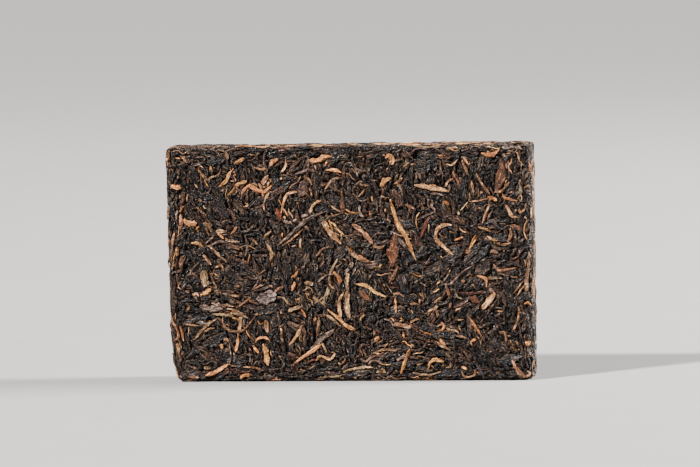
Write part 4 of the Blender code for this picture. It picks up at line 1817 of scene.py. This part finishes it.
@dataclass
class Studio:
    """The pale floor, the soft lights and the camera at the photograph's angle.

    The camera's distance and aim are in metres, its azimuth, elevation and roll in degrees, and its lens and
    sensor in mm.
    """

    distance: float = 1.5
    azimuth: float = 6.0
    elevation: float = 4.2
    lens: float = 201.9
    roll: float = 0.95
    sensor: float = 36.0
    aim: tuple[float, float, float] = (-0.0006, 0.0, 0.0556)

    def floor(self) -> bpy.types.Object:
        """A pale matt floor that reaches past the view."""
        cells = {"x_subdivisions": FLOOR_CELLS, "y_subdivisions": FLOOR_CELLS}
        bpy.ops.mesh.primitive_grid_add(size=FLOOR_SIZE, **cells)
        floor = bpy.context.object
        floor.name = "studio_floor"
        made = bpy.data.materials.new("pale_floor")
        made.use_nodes = True
        wires = Wiring(made.node_tree)
        at = wires.add("ShaderNodeTexCoord").outputs["Object"]
        colour = wires.mix(wires.noise(at, *FLOOR_GRAIN), FLOOR_DARK, FLOOR_LIGHT)
        shader = made.node_tree.nodes["Principled BSDF"]
        made.node_tree.links.new(colour, shader.inputs["Base Color"])
        shader.inputs["Roughness"].default_value = FLOOR_ROUGH
        shader.inputs["Specular IOR Level"].default_value = FLOOR_SPECULAR
        floor.data.materials.append(made)
        return floor

    def lamp(self, lamp: bpy.types.Light, way: Vector, power: float, colour: Colour) -> bpy.types.Object:
        """Puts a lamp in the scene, shining along a direction."""
        lamp.energy = power
        lamp.color = colour
        made = make_object(lamp.name, lamp)
        made.rotation_euler = way.to_track_quat("-Z", "Y").to_euler()
        return made

    def light(self, name: str, place: Sequence[float], size: float, power: float, colour: Colour) -> None:
        """A square soft light that points at the brick."""
        data = bpy.data.lights.new(name, "AREA")
        data.size = size
        self.lamp(data, Vector(self.aim) - Vector(place), power, colour).location = place

    def sun(self, name: str, place: Sequence[float], spread: float, power: float, colour: Colour) -> None:
        """A soft far light from the side of that place, which is as bright all over the floor."""
        data = bpy.data.lights.new(name, "SUN")
        data.angle = math.radians(spread)
        self.lamp(data, -Vector(place), power, colour)

    def lights(self) -> None:
        """A key from the upper left, a rim from behind on the right, and a pale sky."""
        self.sun("key", place=(-0.54, -0.54, 0.65), spread=5.0, power=21.8, colour=(1.0, 0.945, 0.922))
        self.light("right", place=(2.2, 0.3, 0.9), size=0.6, power=480, colour=(1.0, 0.97, 0.95))
        self.light("back", place=(0.4, 1.7, 1.6), size=0.8, power=22, colour=(1.0, 0.96, 0.92))
        world = bpy.data.worlds.new("studio_sky")
        bpy.context.scene.world = world
        world.use_nodes = True
        sky = world.node_tree.nodes["Background"]
        sky.inputs["Color"].default_value = SKY_COLOUR
        sky.inputs["Strength"].default_value = SKY_STRENGTH

    def eye(self) -> tuple[Vector, Quaternion]:
        """The camera's place and turn, with the photograph's slight roll."""
        turn, rise = math.radians(self.azimuth), math.radians(self.elevation)
        way = Vector((math.sin(turn) * math.cos(rise), -math.cos(turn) * math.cos(rise), math.sin(rise)))
        look = (-way).to_track_quat("-Z", "Y")
        return Vector(self.aim) + way * self.distance, look @ Quaternion((0, 0, 1), math.radians(-self.roll))

    def camera(self) -> None:
        """The camera at the photograph's angle."""
        data = bpy.data.cameras.new("camera")
        data.lens = self.lens
        data.sensor_width = self.sensor
        camera = make_object("camera", data)
        place, turn = self.eye()
        camera.location = place
        camera.rotation_euler = turn.to_euler()
        bpy.context.scene.camera = camera

    def seen_point(self, pixel: Pair, front: float) -> Pair:
        """Where a point of the photograph lies on the brick's front.

        Args:
            pixel: The point, in pixels of the photograph's frame.
            front: Where the front face lies, as y in mm.

        Returns:
            Its x and z in mm.
        """
        place, turn = self.eye()
        right, down = pixel[0] - FRAME[0] / 2, pixel[1] - FRAME[1] / 2
        way = turn @ Vector((right, -down, -FRAME[0] * self.lens / self.sensor))
        reach = (front * MM - place.y) / way.y
        return (place.x + way.x * reach) / MM, (place.z + way.z * reach) / MM


def main() -> None:
    """Builds the studio and the brick, and reports each piece."""
    logging.basicConfig(level=logging.INFO, format="%(name)s: %(message)s")
    studio = Studio()
    studio.camera()
    studio.lights()
    studio.floor()
    low, high = (np.array(corner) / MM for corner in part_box(NODE))
    brick = TeaBrick(BrickForm(low, high), studio)
    brick.press()
    total = 0
    for order, piece in enumerate(brick.pieces()):
        if order == 0:
            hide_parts(NODE)
        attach(piece, BODY)
        count = sum(len(polygon.vertices) - 2 for polygon in piece.data.polygons)
        total += count
        log.info("%s: %d triangles", piece.name, count)
    log.info("in all %d triangles", total)


if __name__ == "__main__":
    main()
